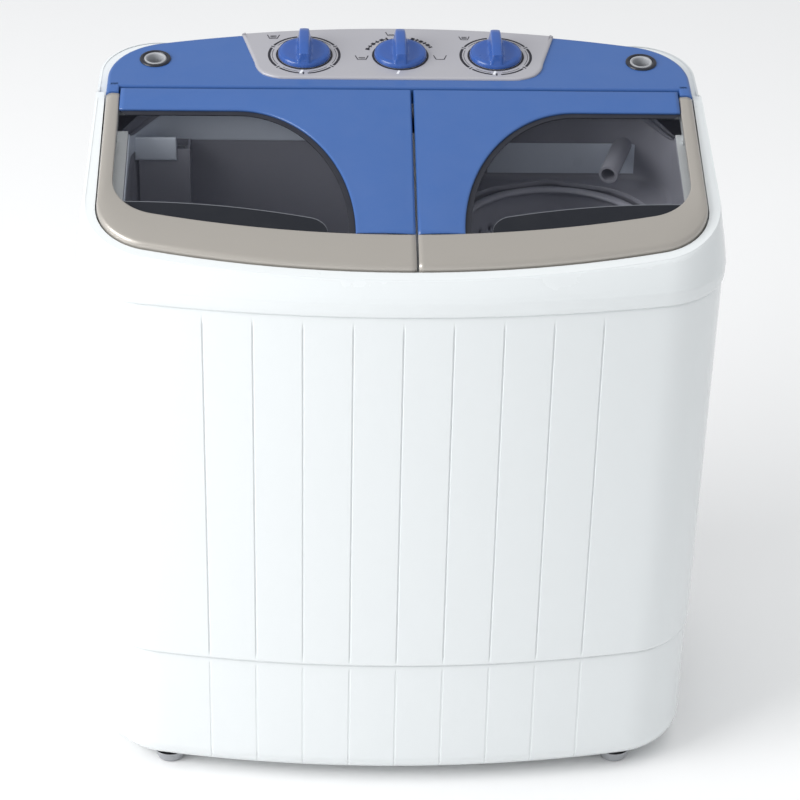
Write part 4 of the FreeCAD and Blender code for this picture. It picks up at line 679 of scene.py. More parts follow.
class WASHER_OT_lids(bpy.types.Operator):
    """Both lids: crowned panel, smoked window with its border, metallic trim and hinge lugs"""
    bl_idname = "washer.lids"
    bl_label = "Lids"

    def execute(self, context):
        crown = context.scene.washer_sizes.crown / MM
        for name in ("wash_lid", "spin_lid"):
            side, split, cx = lid_data(name)
            self.panel(name, side, split, cx, crown)
            self.trim(name, side, split, crown)
            self.window(name, side, cx)
        return {"FINISHED"}

    def panel(self, name, side, split, cx, crown):
        """Ruled between window edge and outer edge, with a rolled lip and a bevelled outer edge."""
        turn = math.radians(50.0)
        profile = [(0, -2.6), (0, -1.0), (0.35, -0.35), (1.1, 0.0), (2.2, 0.12), (4.0, 0.02)]
        profile += [(str(q), 0.0) for q in (0.2, 0.35, 0.5, 0.65, 0.8)]
        profile += [(-4.5, 0.0), (-3.0, 0.03), (-2.1, 0.0), (-0.5, -1.5), ("1.0", -2.0), ("1.0", -2.6)]
        grid = ruled(window_edge(cx, 0.0, turn), panel_edge(cx, split, turn), profile, crown)
        patches = [(to_lid(grid, side), False, None, side > 0)]
        panel = piece(name + "_panel_skin", patches, look("blue_plastic"), name, thick=1.5)
        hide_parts(name + "_panel")
        self.lugs(name, side)

    def lugs(self, name, side):
        """Two eyes round the hinge pin, hanging under the panel's rear edge."""
        a = np.radians(np.linspace(0.0, -180.0, 17))
        ring_s = np.concatenate([[PIN_S + EYE_R], PIN_S + EYE_R * np.cos(a), [PIN_S - EYE_R]])
        ring_t = np.concatenate([[-2.3], np.minimum(-7.0 + EYE_R * np.sin(a), -2.0), [-2.3]])
        lugs = []
        for x0 in (-7.2, -262.5) if side < 0 else (29.7, 256.5):
            pull = column([0.0, 0.9, 1.0, 1.0, 0.9, 0.0])
            s = PIN_S + (ring_s - PIN_S) * pull
            t = -6.0 + (ring_t + 6.0) * pull
            xs = column([x0, x0, x0 + 0.3, x0 + 5.7, x0 + 6.0, x0 + 6.0])
            lugs.append((on_lid(xs + 0 * s, s, t), True, None, False))
        piece(name + "_lugs", lugs, look("blue_plastic"), name)

    def trim(self, name, side, split, crown):
        """Ruled between the trim's inner and outer curves, rounded over and down to the skirt."""
        inner = front_curve(split, PANEL_HALF, -202.0, 48.0, TRIM_END)
        outer = front_curve(split, 276.0, -244.0, 58.0, TRIM_END)
        profile = [("0.0", -2.6), ("0.0", -1.1), (0.4, -0.35), (1.2, 0.0), (2.4, 0.05), ("0.3", 0.0),
                   ("0.45", 0.0),
                   ("0.55", 0.0), (-5.0, -0.1), (-3.2, -0.5), (-1.8, -1.2), (-0.8, -2.3), (-0.2, -3.6),
                   ("1.0", -5.0), ("1.0", -9.0), ("1.0", -13.4), (-0.6, -14.0), (-2.6, -14.0)]
        grid = ruled(inner, outer, profile, crown)
        trim = piece(name + "_trim_skin", [(to_lid(grid, side), False, None, side > 0)],
                     look("champagne_trim"), name, thick=1.6, sharp=50.0)
        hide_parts(name + "_trim")

    def window(self, name, side, cx):
        """Pane from the rear edge or the ellipse to the front curve, and a dark border along its edge that
        is painted shade of the window's recessed edge.
        """
        turn = math.radians(50.0)
        q = (1 - np.cos(np.linspace(0, math.pi, 60))) / 2.0
        lap = WINDOW_R + 4.5
        x = PANEL_HALF + 1.6 + (cx - lap - PANEL_HALF - 1.6) * q
        inside = np.clip((cx - x) / lap, 0.0, 1.0)
        rear = 201.0 - 172.5 * np.sqrt(1.0 - inside ** 2)
        front = front_at(x, PANEL_HALF + 1.9, -208.0)
        v = column(np.linspace(0.0, 1.0, 24))
        s = rear + (front - rear) * v
        top = np.stack(np.broadcast_arrays(x, s, -2.7 + 0 * s), axis=-1)
        pane = piece(name + "_pane", [(to_lid(top, side), False, None, side < 0)], look("smoked_pane"), name,
                     thick=2.4)
        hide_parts(name + "_window")
        self.front_shade_band(name, side, cx)
        # Dark border along the window's rear and curved edges: painted shade of the panel's edge on what
        # lies under the pane.
        a = window_edge(cx, 0.6, turn)
        b = window_edge(cx, -5.4, turn)
        strip = ruled(a, b, [("0.0", -3.4), ("0.0", -2.3), ("0.2", -2.15), ("0.8", -2.15), ("1.0", -2.35),
                             ("1.0", -3.4)], 0.0)
        keep = strip[:, :-1, 1].mean(axis=0) < 203.0
        grid = to_lid(strip[:, :np.count_nonzero(keep) + 1], side)
        piece(name + "_border", [(grid, False, None, side < 0)], look("dark_collar"), name)

    def front_shade_band(self, name, side, cx):
        """Dark band on the pane's front, with a round corner and a fine line where it ends: the band is
        painted shade of the ledge under the front trim, the line a painted highlight along that ledge's
        edge.
        """
        x0, x1, r = cx - 84.0, PANEL_HALF, 15.0
        bend = x0 + r * (1 - np.cos(np.linspace(0, math.pi / 2, 14)))
        x = np.concatenate([bend, np.linspace(x0 + r, x1, 40)[1:]])
        rise = np.sqrt(np.maximum(r ** 2 - np.maximum(x0 + r - x, 0.0) ** 2, 0.0))
        line = 158.5 + 0.00075 * (248.0 - x) ** 2 + r - rise
        edge = front_at(x, PANEL_HALF + 1.0, -206.0)
        line = np.minimum(line, edge)
        v = column([0.0, 0.5, 1.0])
        # The band is painted shade of the ledge under the front trim; the pale line along its rear edge is a
        # painted highlight.
        for label, start, end, up, look_name in (("band", line, edge, -2.62, "pane_band"),
                                                 ("line", line - 0.9, line, -2.6, "pane_line")):
            s = start + (end - start) * v
            grid = to_lid(np.stack(np.broadcast_arrays(x, s, up + 0 * s), axis=-1), side)
            piece(name + "_" + label, [(grid, False, None, side > 0)], look(look_name), name)


# ---- console ----------------------------------------------------------------------------------
def console_rear(x, inset=0.0):
    """How far back the console reaches at x: a wide arc that turns into a corner circle."""
    half_w, bow, r = 276.0 - inset, 950.0, 62.0 - inset
    cx, cy, tx, ty = corner_fit(half_w, -108.0 + inset, bow, r)
    ax = np.abs(x)
    arc = 108.0 - inset - bow + np.sqrt(bow ** 2 - np.minimum(ax, tx) ** 2)
    rest = np.maximum(r ** 2 - (np.clip(ax, tx, half_w) - cx) ** 2, 0.0)
    return np.where(ax <= tx, arc, -cy + np.sqrt(rest))


def inlet_patch(x0):
    """Square of the console top round an inlet, blending to a circle of 10 mm."""
    a = np.radians(np.arange(0.0, 360.0, 3.75))[None, :]
    reach = 16.0 / np.maximum(np.abs(np.cos(a)), np.abs(np.sin(a)))
    r = 10.0 + (reach - 10.0) * column([1.0, 0.5, 0.0, 0.0])
    up = column([0.0, 0.0, 0.0, -14.0])
    return on_console(x0 + r * np.cos(a), INLET_Y + r * np.sin(a), up + 0 * r)


class WASHER_OT_console(bpy.types.Operator):
    """Console housing, the raised fascia with its printed marks and painted shadow rings, and the two water
    inlets
    """
    bl_idname = "washer.console"
    bl_label = "Console"

    def execute(self, context):
        self.housing(context.scene.washer_sizes.edge / MM)
        self.fascia()
        self.marks()
        for name, x in (("wash_inlet", -INLET_X), ("spin_inlet", INLET_X)):
            self.inlet(name, x)
        return {"FINISHED"}

    def housing(self, round_r):
        """Top and skirt: insets of the outline by a quarter circle, then straight down."""
        a = np.radians(np.array([90.0, 68.0, 45.0, 22.0, 0.0]))
        insets = list(round_r * (1 - np.cos(a)))
        ups = list(-round_r * (1 - np.sin(a)))
        xs = np.sin(np.linspace(-math.pi / 2, math.pi / 2, 117))
        rings = []
        core = np.linspace(0.0, 180.0, 22)
        for inset, up in zip(insets + [0.0, 0.0], ups + [-12.0, -26.5]):
            half = column([276.0 - inset])
            x, y = full_plan(half, column([1.2 + inset * 0.55]), column([108.0 - inset]), 1.0e6,
                             column([1.2]), 950.0, 62.0 - inset, core)
            rings.append(on_console(x, y, up + 0 * x)[0])
        skirt = np.stack(rings[::-1])
        inset = insets[0]
        x = xs * (276.0 - inset)
        squares = np.concatenate([[s * INLET_X - 16.0, s * INLET_X, s * INLET_X + 16.0] for s in (-1, 1)])
        x = np.array(sorted(set(np.round(np.concatenate([x, squares]), 6))))
        low, high = 1.2 + inset * 0.55, console_rear(x, inset)
        q = np.array([0.0, 0.15, 0.3])
        side_low, side_high = INLET_Y - 16.0, INLET_Y + 16.0
        rows = [low + (side_low - low) * v + 0 * x for v in q]
        rows += [v + 0 * x for v in (side_low, INLET_Y, side_high)]
        rows = [np.minimum(r, high) for r in rows]
        rows += [np.maximum(high, 0) * v + np.minimum(side_high, high) * (1 - v)
                 for v in (0.25, 0.5, 0.75, 1.0)]
        y = np.stack(rows)
        top = on_console(x, y, 0.0)
        mx = (x[:-1] + x[1:]) / 2.0
        square = (np.abs(np.abs(mx) - INLET_X) < 16.0)[None, :] & (np.arange(len(y) - 1) >= 3)[:, None] & (
            np.arange(len(y) - 1) < 5)[:, None]
        patches = [(top, False, ~square, False), (skirt, True, None, False)]
        patches += [(inlet_patch(s * INLET_X), True, None, False) for s in (-1, 1)]
        for s in (-1, 1):
            patches.append((self.wing(s), False, None, s < 0))
        console = piece("console_skin", patches, look("blue_plastic"), "cabinet", sharp=45.0)
        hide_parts("control_console")

    def wing(self, side):
        """Forward corner beside the trim's rear end: a small block with rounded outer edges."""
        x = np.array([264.2, 264.2, 265.0, 268.0, 272.0, 274.4, 275.6, 276.0, 276.0])
        up = np.array([-5.0, -0.8, 0.0, 0.0, 0.0, -0.35, -1.4, -3.0, -5.0])
        y = column([-8.4, -8.4, -8.0, -7.4, 4.0, 6.0])
        drop = column([-5.0, -1.0, -0.3, 0.0, 0.0, 0.0])
        return on_console(side * x + 0 * y, y + 0 * x, np.minimum(up, drop + 0 * x))

    def fascia(self):
        """Columns across the plate from its lower to its upper edge, bevelled all round."""
        low = np.array([[0, 14.5], [108.0, 14.5], [114.0, 15.1], [120.0, 17.0], [125.0, 19.5], [129.5, 22.5],
                        [133.5, 28.0], [136.4, 35.0], [138.0, 44.0], [151.0, 94.5]])
        half = np.concatenate([np.linspace(0, 108, 28), np.linspace(108, 138, 24)[1:],
                               np.linspace(138, 151, 14)[1:]])
        x = np.concatenate([-half[:0:-1], half])
        bottom = np.interp(np.abs(x), low[:, 0], low[:, 1])
        rise = (151.0 ** 2 + 12.0 ** 2) / 24.0
        top = 106.5 - rise + np.sqrt(rise ** 2 - x ** 2)
        edge_x = np.concatenate([x, x[::-1]])
        edge_y = np.concatenate([bottom, top[::-1]])
        away = np.stack([edge_x, edge_y - 60.0], axis=-1)
        normal = np.stack([np.gradient(edge_y), -np.gradient(edge_x)], axis=-1)
        normal /= np.maximum(np.linalg.norm(normal, axis=-1, keepdims=True), 1e-9)
        normal *= np.sign(np.sum(normal * away, axis=-1, keepdims=True))
        rows = []
        for inset, up in ((0.0, 0.0), (0.0, 1.3), (0.5, 1.9), (1.9, 2.45), (2.6, FASCIA_TOP),
                          (3.4, FASCIA_TOP)):
            p = np.stack([edge_x, edge_y], axis=-1) - normal * inset
            rows.append(on_console(p[:, 0], p[:, 1], up + 0 * edge_x))
        near, far = p[:len(x)], p[len(x):][::-1]
        v = column([0.0, 0.25, 0.5, 0.75, 1.0])
        face_x, face_y = (near[:, k] + (far[:, k] - near[:, k]) * v for k in (0, 1))
        patches = [(np.stack(rows), True, None, False),
                   (on_console(face_x, face_y, FASCIA_TOP), False, None, False)]
        fascia = piece("fascia_skin", patches, look("silver_fascia"), "cabinet", sharp=50.0)
        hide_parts("control_fascia")

    def marks(self):
        """Rings, scales and small tub signs, with a painted shadow ring round each knob: flat strips that
        stand a hair above the fascia.
        """
        strips = []

        def arc(cx, r, width, start, end, n=24):
            a = np.radians(np.linspace(start, end, n))
            rr = column([r - width / 2, r + width / 2])
            strips.append((on_console(cx + rr * np.cos(a), KNOB_Y + rr * np.sin(a), MARKS_UP), False, None,
                           True))

        def bar(x0, y0, x1, y1, width):
            along = np.array([x1 - x0, y1 - y0], dtype=float)
            along /= np.hypot(*along)
            side = np.array([-along[1], along[0]]) * width / 2
            p = np.array([[[x0, y0] - side, [x1, y1] - side], [[x0, y0] + side, [x1, y1] + side]])
            strips.append((on_console(p[..., 0], p[..., 1], MARKS_UP), False, None, False))

        def tick(cx, spot, r0, r1, width):
            c, s = math.cos(math.radians(spot)), math.sin(math.radians(spot))
            bar(cx + r0 * c, KNOB_Y + r0 * s, cx + r1 * c, KNOB_Y + r1 * s, width)

        def tub_sign(x, y, size, filled):
            bar(x - size, y + size * 0.6, x - size * 0.62, y - size * 0.6, 0.9)
            bar(x - size * 0.62, y - size * 0.6, x + size * 0.62, y - size * 0.6, 0.9)
            bar(x + size, y + size * 0.6, x + size * 0.62, y - size * 0.6, 0.9)
            for k in range(filled):
                bar(x - size * 0.5, y - size * 0.2 + k * 1.5, x + size * 0.5, y - size * 0.2 + k * 1.5, 0.8)

        for cx in (KNOB_X[0], KNOB_X[2]):
            for start, end in ((102, 150), (158, 218), (226, 262), (276, 318), (326, 384), (392, 440)):
                arc(cx, 33.6, 1.4 + 1.1 * abs(math.cos(math.radians((start + end) / 2))), start, end)
                arc(cx, 30.6, 0.5, start + 3, end - 3)
            for spot in (97, 154, 222, 269, 322, 388):
                tick(cx, spot, 31.5, 35.5, 1.4)
        # Full dark ring round each knob: painted shadow of the gap round the knob's rim.
        for cx in KNOB_X:
            arc(cx, 26.2, 2.0, 0, 360, 73)
        cx = KNOB_X[1]
        for start, end in ((28, 68), (112, 160)):
            arc(cx, 33.0, 1.0, start, end)
            for k, spot in enumerate(np.linspace(start, end, 6)):
                tick(cx, spot, 31.2, 35.2, 3.4 if k % 2 else 1.8)
        tub_sign(cx - 37.0, 50.5, 6.2, 2)
        tub_sign(cx + 38.0, 52.0, 6.2, 0)
        tub_sign(cx - 8.0, 95.0, 5.4, 1)
        tub_sign(KNOB_X[0] - 30.0, 88.0, 5.8, 3)
        tub_sign(KNOB_X[2] - 29.0, 88.0, 5.0, 3)
        piece("fascia_marks_and_shadow_rings", strips, look("dial_ink_and_shadow"), "cabinet")
        strips.clear()
        for cx in KNOB_X:
            bar(cx - 1.5, 27.4, cx - 3.5, 21.4, 2.2)
        piece("fascia_pointers", strips, look("pointer_white"), "cabinet")

    def inlet(self, name, x):
        """Turned collar: dark outer ring, a groove, a paler inner ring, and the bore."""
        outer = [(14.6, 0.05), (14.9, 0.5), (14.6, 1.3), (13.6, 1.9), (12.4, 1.9), (11.5, 1.3), (11.2, 0.6),
                 (10.6, 0.5)]
        inner = [(10.9, 0.4), (10.6, 1.2), (10.0, 1.6), (9.2, 1.6), (8.4, 1.1), (8.0, 0.2), (8.0, -20.0)]
        dark = piece(name + "_collar", one(turned(outer, (x, INLET_Y), on_console, 96), True),
                     look("dark_collar"), "cabinet")
        piece(name + "_throat", one(turned(inner, (x, INLET_Y), on_console, 96), True), look("grey_plastic"),
              "cabinet")
        plug = [(8.0, -19.0), (4.0, -19.0), (0.0, -19.0)]
        piece(name + "_depth", one(turned(plug, (x, INLET_Y), on_console, 48), True), look("tub_shadow"),
              "cabinet")
        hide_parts(name + "_ring")


class WASHER_OT_knobs(bpy.types.Operator):
    """Three knobs: a dished disc with a scooped upright blade and a white pointer line"""
    bl_idname = "washer.knobs"
    bl_label = "Knobs"

    def execute(self, context):
        bodies = ("wash_timer_dial", "program_dial", "spin_timer_dial")
        nodes = ("wash_timer_knob", "program_selector_knob", "spin_timer_knob")
        for cx, body, node in zip(KNOB_X, bodies, nodes):
            half = np.array([0.06, 0.12, 0.17, 0.19, 0.205, 0.23, 0.26, 0.30, 0.36, 0.44, 0.54, 0.66, 0.78,
                             0.88, 0.95, 0.985, 1])
            u = np.concatenate([-half[::-1], [0.0], half])
            v = column(np.sin(np.linspace(-math.pi / 2, math.pi / 2, 33)))
            r = KNOB_R - 0.6
            x = r * u + 0 * v
            y = r * np.sqrt(np.maximum(1.0 - u ** 2, 0.0)) * v
            radius = np.hypot(x, y) / r
            disc = 8.6 - 1.4 * ease(radius, 0.86, 1.0) - 1.0 * (1 - radius ** 2) * ease(np.abs(x), 5.0, 12.0)
            along = y / r
            ridge = 20.6 - 1.6 * along ** 2 - 2.4 * ease(-along, 0.25, 0.97) - 1.2 * ease(along, 0.6, 1.0)
            blade = 1.0 - ease(np.abs(x), 4.15, 6.4 + 1.2 * (1 - along ** 2))
            blade *= 1.0 - ease(np.abs(along), 0.925, 0.985)
            crest = 0.35 * (1 - np.clip(np.abs(x) / 4.6, 0, 1) ** 2)
            up = disc + (ridge + crest - disc) * blade
            up = np.where(radius > 0.995, 7.0, up)
            cap = on_console(cx + x, KNOB_Y + y, up)
            profile = [(25.0, 3.1), (25.0, 4.4), (24.8, 6.0), (24.4, 7.0), (23.9, 7.5)]
            rim = turned(profile, (cx, KNOB_Y), on_console, 96)
            knob = piece(node + "_skin", [(cap, False, None, False), (rim, True, None, False)],
                         look("blue_knob"), body, sharp=60.0)
            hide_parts(node)
            line_x = np.array([[-4.6, -3.9], [-6.6, -5.9]])
            line_y = np.array([[-14.0, -14.0], [-22.0, -22.0]])
            line = on_console(cx + line_x, KNOB_Y + line_y, 9.3 + 0 * line_x)
            piece(node + "_pointer", [(line, False, None, True)], look("pointer_white"), body)
        return {"FINISHED"}


# ---- tubs ---------------------------------------------------------------------------------------
def tub_top(y):
    """Height where a tub's wall meets the frame's ledge, dropped clear of the lid's swing."""
    ledge = SEAM_Z + (y - SEAM_Y) * math.tan(LID_TILT) - 18.0 / math.cos(LID_TILT)
    off = y - HINGE_Y
    swing = HINGE_Z - np.sqrt(np.maximum(LID_SWING ** 2 - off ** 2, 0.0))
    return np.where(np.abs(off) < LID_SWING, np.minimum(ledge, swing), ledge)


def level(ring, z):
    """Plan ring raised to height z, one value or one per point."""
    return np.column_stack([ring, z + 0 * ring[:, 0]])


def inset_ring(xs, ys, d, r):
    """Ring of a round-cornered rectangle drawn in by d on every side."""
    return rounded_box((xs[0] + d, xs[1] - d), (ys[0] + d, ys[1] - d), r)[0]


def tub_mouth(xs, ys):
    """Ring of a tub's wall, the height of its top, and the first rows, from the flange inwards."""
    ring = rounded_box(xs, ys, TUB_CORNER)[0]
    wide = rounded_box((xs[0] - 6, xs[1] + 6), (ys[0] - 6, ys[1] + 2), 48.0)[0]
    top = tub_top(ring[:, 1])
    rows = [level(wide, tub_top(wide[:, 1]) - 0.2), level(ring + (wide - ring) * 0.3, top - 0.2)]
    return ring, top, rows + [level(ring, top - 1.4)]


class WASHER_OT_tubs(bpy.types.Operator):
    """Wash tub, spin tub with its deck, liners and pale bands, perforated basket and pulsator"""
    bl_idname = "washer.tubs"
    bl_label = "Tubs"

    def execute(self, context):
        self.wash_tub()
        self.spin_tub()
        self.collar("wash_tub_collar", WASH_X, WASH_Y, 586.0)
        self.liner("wash_tub_liner", WASH_X, WASH_Y)
        self.liner("spin_tub_liner", SPIN_X, SPIN_Y)
        self.spin_band()
        self.filter_seat()
        self.basket(context.scene.washer_sizes.hole / MM)
        self.pulsator()
        return {"FINISHED"}

    def wash_tub(self):
        """Round-cornered walls, a filleted floor and a round sump for the pulsator."""
        xs, ys = WASH_X, WASH_Y
        ring, top, rows = tub_mouth(xs, ys)
        for q in (0.1, 0.3, 0.5, 0.7, 0.9):
            rows.append(level(ring, top + (276.0 - top) * q))
        for a in np.radians((0.0, 22.5, 45.0, 67.5, 90.0)):
            d = 26.0 * (1 - math.cos(a))
            inner = inset_ring(xs, ys, d, max(TUB_CORNER - d, 8.0))
            rows.append(level(inner, 276.0 - 25.6 * math.sin(a)))
        centre = np.array(WASH_CENTRE)
        angle = np.arctan2(inner[:, 1] - centre[1], inner[:, 0] - centre[0])
        for r, z in ((90.0, 250.4), (88.0, 250.3)):
            rows.append(np.column_stack([centre[0] + r * np.cos(angle) * 0.82,
                                         centre[1] + r * np.sin(angle) * 0.82,
                                         np.full(len(angle), z)]))
        rows.append(np.column_stack([centre[0] + 15 * np.cos(angle), centre[1] + 15 * np.sin(angle),
                                     np.full(len(angle), 250.3)]))
        tub = piece("wash_tub_skin", one(np.stack(rows), True), look("tub_plastic"), "cabinet",
                    thick=2.2)
        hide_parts("wash_tub")

    def spin_tub(self):
        """Upstand round the mouth, a flat deck that closes in to a round lip, and the well below."""
        xs, ys = SPIN_X, SPIN_Y
        centre = np.array(SPIN_CENTRE)
        ring, top, rows = tub_mouth(xs, ys)
        angle = np.arctan2(ring[:, 1] - centre[1], ring[:, 0] - centre[0])
        way = np.stack([np.cos(angle), np.sin(angle)], axis=-1)
        for q in (0.3, 0.6, 0.85):
            rows.append(level(ring, top + (554.0 - top) * q))
        for a in np.radians((0.0, 30.0, 60.0, 90.0)):
            d = 5.5 * (1 - math.cos(a))
            inner = inset_ring(xs, ys, d, TUB_CORNER - d)
            rows.append(level(inner, 554.0 - 5.5 * math.sin(a)))
        for r, z in ((103.0, 548.6), (101.0, 549.6), (99.6, 549.6), (99.0, 548.6), (99.0, 545.6),
                     (104.0, 545.2),
                     (104.0, 420.0), (104.0, 268.0), (101.0, 264.4), (30.0, 264.4), (14.0, 264.4)):
            rows.append(level(centre + way * r, z))
        tub = piece("spin_tub_skin", one(np.stack(rows), True), look("tub_plastic"), "cabinet",
                    thick=2.0)
        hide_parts("spin_outer_tub")

    def collar(self, name, xs, ys, low):
        """Pale band inside the mouth, a millimetre proud of the wall, stepped at its lower edge; its pale
        colour is partly a pale moulding and partly painted light on the upper wall above the shaded depth.
        """
        rows = []
        for inset, q in ((0.2, 0.0), (1.3, 0.03), (1.3, 0.5), (1.3, 0.94), (1.0, 0.98), (0.2, 1.0)):
            ring = inset_ring(xs, ys, inset, TUB_CORNER - inset)
            top = tub_top(ring[:, 1]) - 0.3
            floor = np.minimum(low, top - 9.0)
            rows.append(level(ring, top + (floor - top) * q))
        piece(name, one(np.stack(rows), True), look("collar_plastic"), "cabinet")

    def liner(self, name, xs, ys):
        """Dark gasket lying on the frame's ledge round a tub's mouth."""
        rows = []
        for out, up in ((15.0, 2.7), (14.6, 3.1), (0.6, 3.1), (-0.4, 2.7), (-0.6, 0.0)):
            wide_x, wide_y = (xs[0] - out, xs[1] + min(out, 8.0)), (ys[0] - out, ys[1] + min(out, 3.0))
            ring = rounded_box(wide_x, wide_y, TUB_CORNER)[0]
            near = ease(ring[:, 1], 17.0, 23.0)
            rows.append(level(ring, tub_top(ring[:, 1]) + up * (1 - near) - 0.6 * near))
        piece(name, one(np.stack(rows), True), look("tub_plastic"), "cabinet")

    def spin_band(self):
        """Pale strip along the back wall of the spin side: pale plastic that partly paints the light on that
        wall.
        """
        x, z = np.meshgrid(spread(76.0, 246.0, 18), [554.4, 555.4, 584.6, 585.6])
        y = 71.0 - 1.0 * np.sin(math.pi * spread(0.0, 1.0, 4))[:, None] ** 0.2 + 0 * x
        piece("spin_tub_band", one(upright(x, y, z), flip=True), look("collar_plastic"), "cabinet")

    def filter_seat(self):
        """Pale apron in front of the lint filter's top, and the dark opening behind it."""
        x, z = np.meshgrid([-250.0, -249.2, -247.5, -213.5, -211.0, -210.0],
                           [577.0, 577.8, 579.5, 598.8, 600.6, 601.2])
        edge = (np.minimum(np.minimum(x + 250.0, -210.0 - x),
                           np.minimum(z - 577.0, 601.2 - z)) / 1.6).clip(0, 1)
        piece("filter_seat", one(upright(x, 45.4 - 1.6 * np.sqrt(edge), z)), look("collar_plastic"),
              "cabinet", thick=1.2)
        x, z = np.meshgrid([-243.0, -242.0, -220.0, -219.0], [587.0, 588.0, 603.0, 604.0])
        piece("filter_opening", one(upright(x, 70.2 + 0 * x, z)), look("tub_shadow"), "cabinet")

    def basket(self, pitch):
        """Turned drum whose wall leaves out every fourth quad of staggered rows as its perforation."""
        n = 176
        floor = [(14.0, 332.0), (20.0, 322.0), (27.0, 300.0), (34.0, 296.0), (80.0, 292.4), (90.0, 293.4),
                 (93.8, 297.0)]
        wall = [(94.9, z) for z in np.arange(306.0, 530.0, pitch / 2.4)]
        rim = [(94.9, 534.0), (95.2, 538.0), (96.6, 540.0), (96.9, 541.6), (96.5, 543.6), (95.0, 544.8),
               (92.0, 545.1), (89.0, 544.8), (87.5, 543.8), (87.2, 541.0)]
        profile = floor + wall + rim
        grid = turned(profile, SPIN_CENTRE, upright, n)
        keep = np.ones((len(profile) - 1, n), dtype=bool)
        first, last = len(floor) + 2, len(floor) + len(wall) - 3
        rows = np.arange(len(profile) - 1)[:, None]
        cols = np.arange(n)[None, :]
        band = (rows >= first) & (rows < last) & ((rows - first) % 3 == 0)
        keep[band & ((cols + 2 * (((rows - first) // 3) % 2)) % 4 == 0)] = False
        skin = piece("spin_basket_skin", one(grid, True, keep, False), look("basket_plastic"), "spin_drum",
                     thick=1.8, sharp=60.0)
        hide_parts("spin_basket")

    def pulsator(self):
        """Dished disc whose height swells into three curved vanes and a central boss."""
        r = column(np.concatenate([np.linspace(0.0, 80.0, 46), [82.5, 83.6, 84.0, 84.0]]))
        a = np.linspace(0.0, 2 * math.pi, 192, endpoint=False)[None, :]
        twist = a - 0.006 * r
        vane = np.maximum(np.cos(3 * twist), 0.0) ** 10 * ease(r, 8.0, 24.0) * (1.0 - ease(r, 62.0, 76.0))
        boss = 9.0 * (1.0 - ease(r, 6.0, 30.0))
        z = 259.0 + boss + 6.5 * vane * (1 - 0.4 * r / 84.0) + 1.6 * ease(r, 60.0,
                                                                          80.0) - 4.0 * ease(r, 81.0, 84.0)
        z[-1] = 254.2
        disc = piece("pulsator_skin",
                     one(upright(-131.0 + r * np.cos(a), -28.0 + r * np.sin(a), z), True, flip=True),
                     look("pulsator_plastic"), "pulsator_rotor")
        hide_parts("pulsator")


class WASHER_OT_bellows(bpy.types.Operator):
    """Pleated sleeve of the drain valve in its rest shape, attached to no body; the stopper squeezes the
    real sleeve when it lifts
    """
    bl_idname = "washer.bellows"
    bl_label = "Valve bellows"

    def execute(self, context):
        q = spread(0.0, 1.0, 81)
        z = 180.0 + 46.0 * q
        pleat = 10.5 - 2.3 * np.cos(10.0 * math.pi * q)
        outer = [(5.2, 180.2), (7.2, 180.0)] + list(zip(pleat, z)) + [(7.2, 226.0), (5.2, 225.8)]
        inner = [(r, h) for r, h in zip(np.full(9, 5.0), spread(225.0, 181.0, 9))]
        sleeve = piece("valve_bellows_skin",
                       one(turned(outer + inner + outer[:1], (1.5, 128.0), upright, 64), True),
                       look("black_rubber"), None)
        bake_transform(sleeve)
        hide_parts("valve_bellows")
        return {"FINISHED"}


class WASHER_OT_feet(bpy.types.Operator):
    """Four turned feet with a rounded tread"""
    bl_idname = "washer.feet"
    bl_label = "Feet"

    def execute(self, context):
        profile = [(0.0, 0.0), (9.0, 0.0), (12.0, 0.05), (13.0, 0.9), (13.6, 3.0), (14.2, 3.4), (14.6, 5.0),
                   (16.4, 10.8), (17.0, 11.6), (17.0, 12.4)]
        patches = [(turned(profile, (x, y), upright, 48), True, None, False)
                   for x in (-222.0, 222.0) for y in (-122.0, 132.0)]
        feet = piece("feet_skin", patches, look("grey_plastic"), "cabinet")
        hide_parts("feet")
        return {"FINISHED"}


# ---- stage --------------------------------------------------------------------------------------
def stand(x, y, z, place):
    """Matrix whose columns are the three axes and the place."""
    return Matrix([[float(v) for v in row] for row in np.stack([x, y, z, place], axis=1)] +
                  [[0, 0, 0, 1]]).to_4x4()


def lamp(name, kind, place, aim, power, size):
    data = bpy.data.lights.new(name, kind)
    data.energy = power
    data.shape = "RECTANGLE"
    data.size, data.size_y = size
    obj = bpy.data.objects.new(name, data)
    bpy.context.scene.collection.objects.link(obj)
    z = np.array(place, dtype=float) - np.array(aim, dtype=float)
    z /= np.linalg.norm(z)
    x = np.cross([0.0, 0.0, 1.0], z)
    x /= np.linalg.norm(x)
    y = np.cross(z, x)
    obj.matrix_world = stand(x, y, z, place)
    return obj


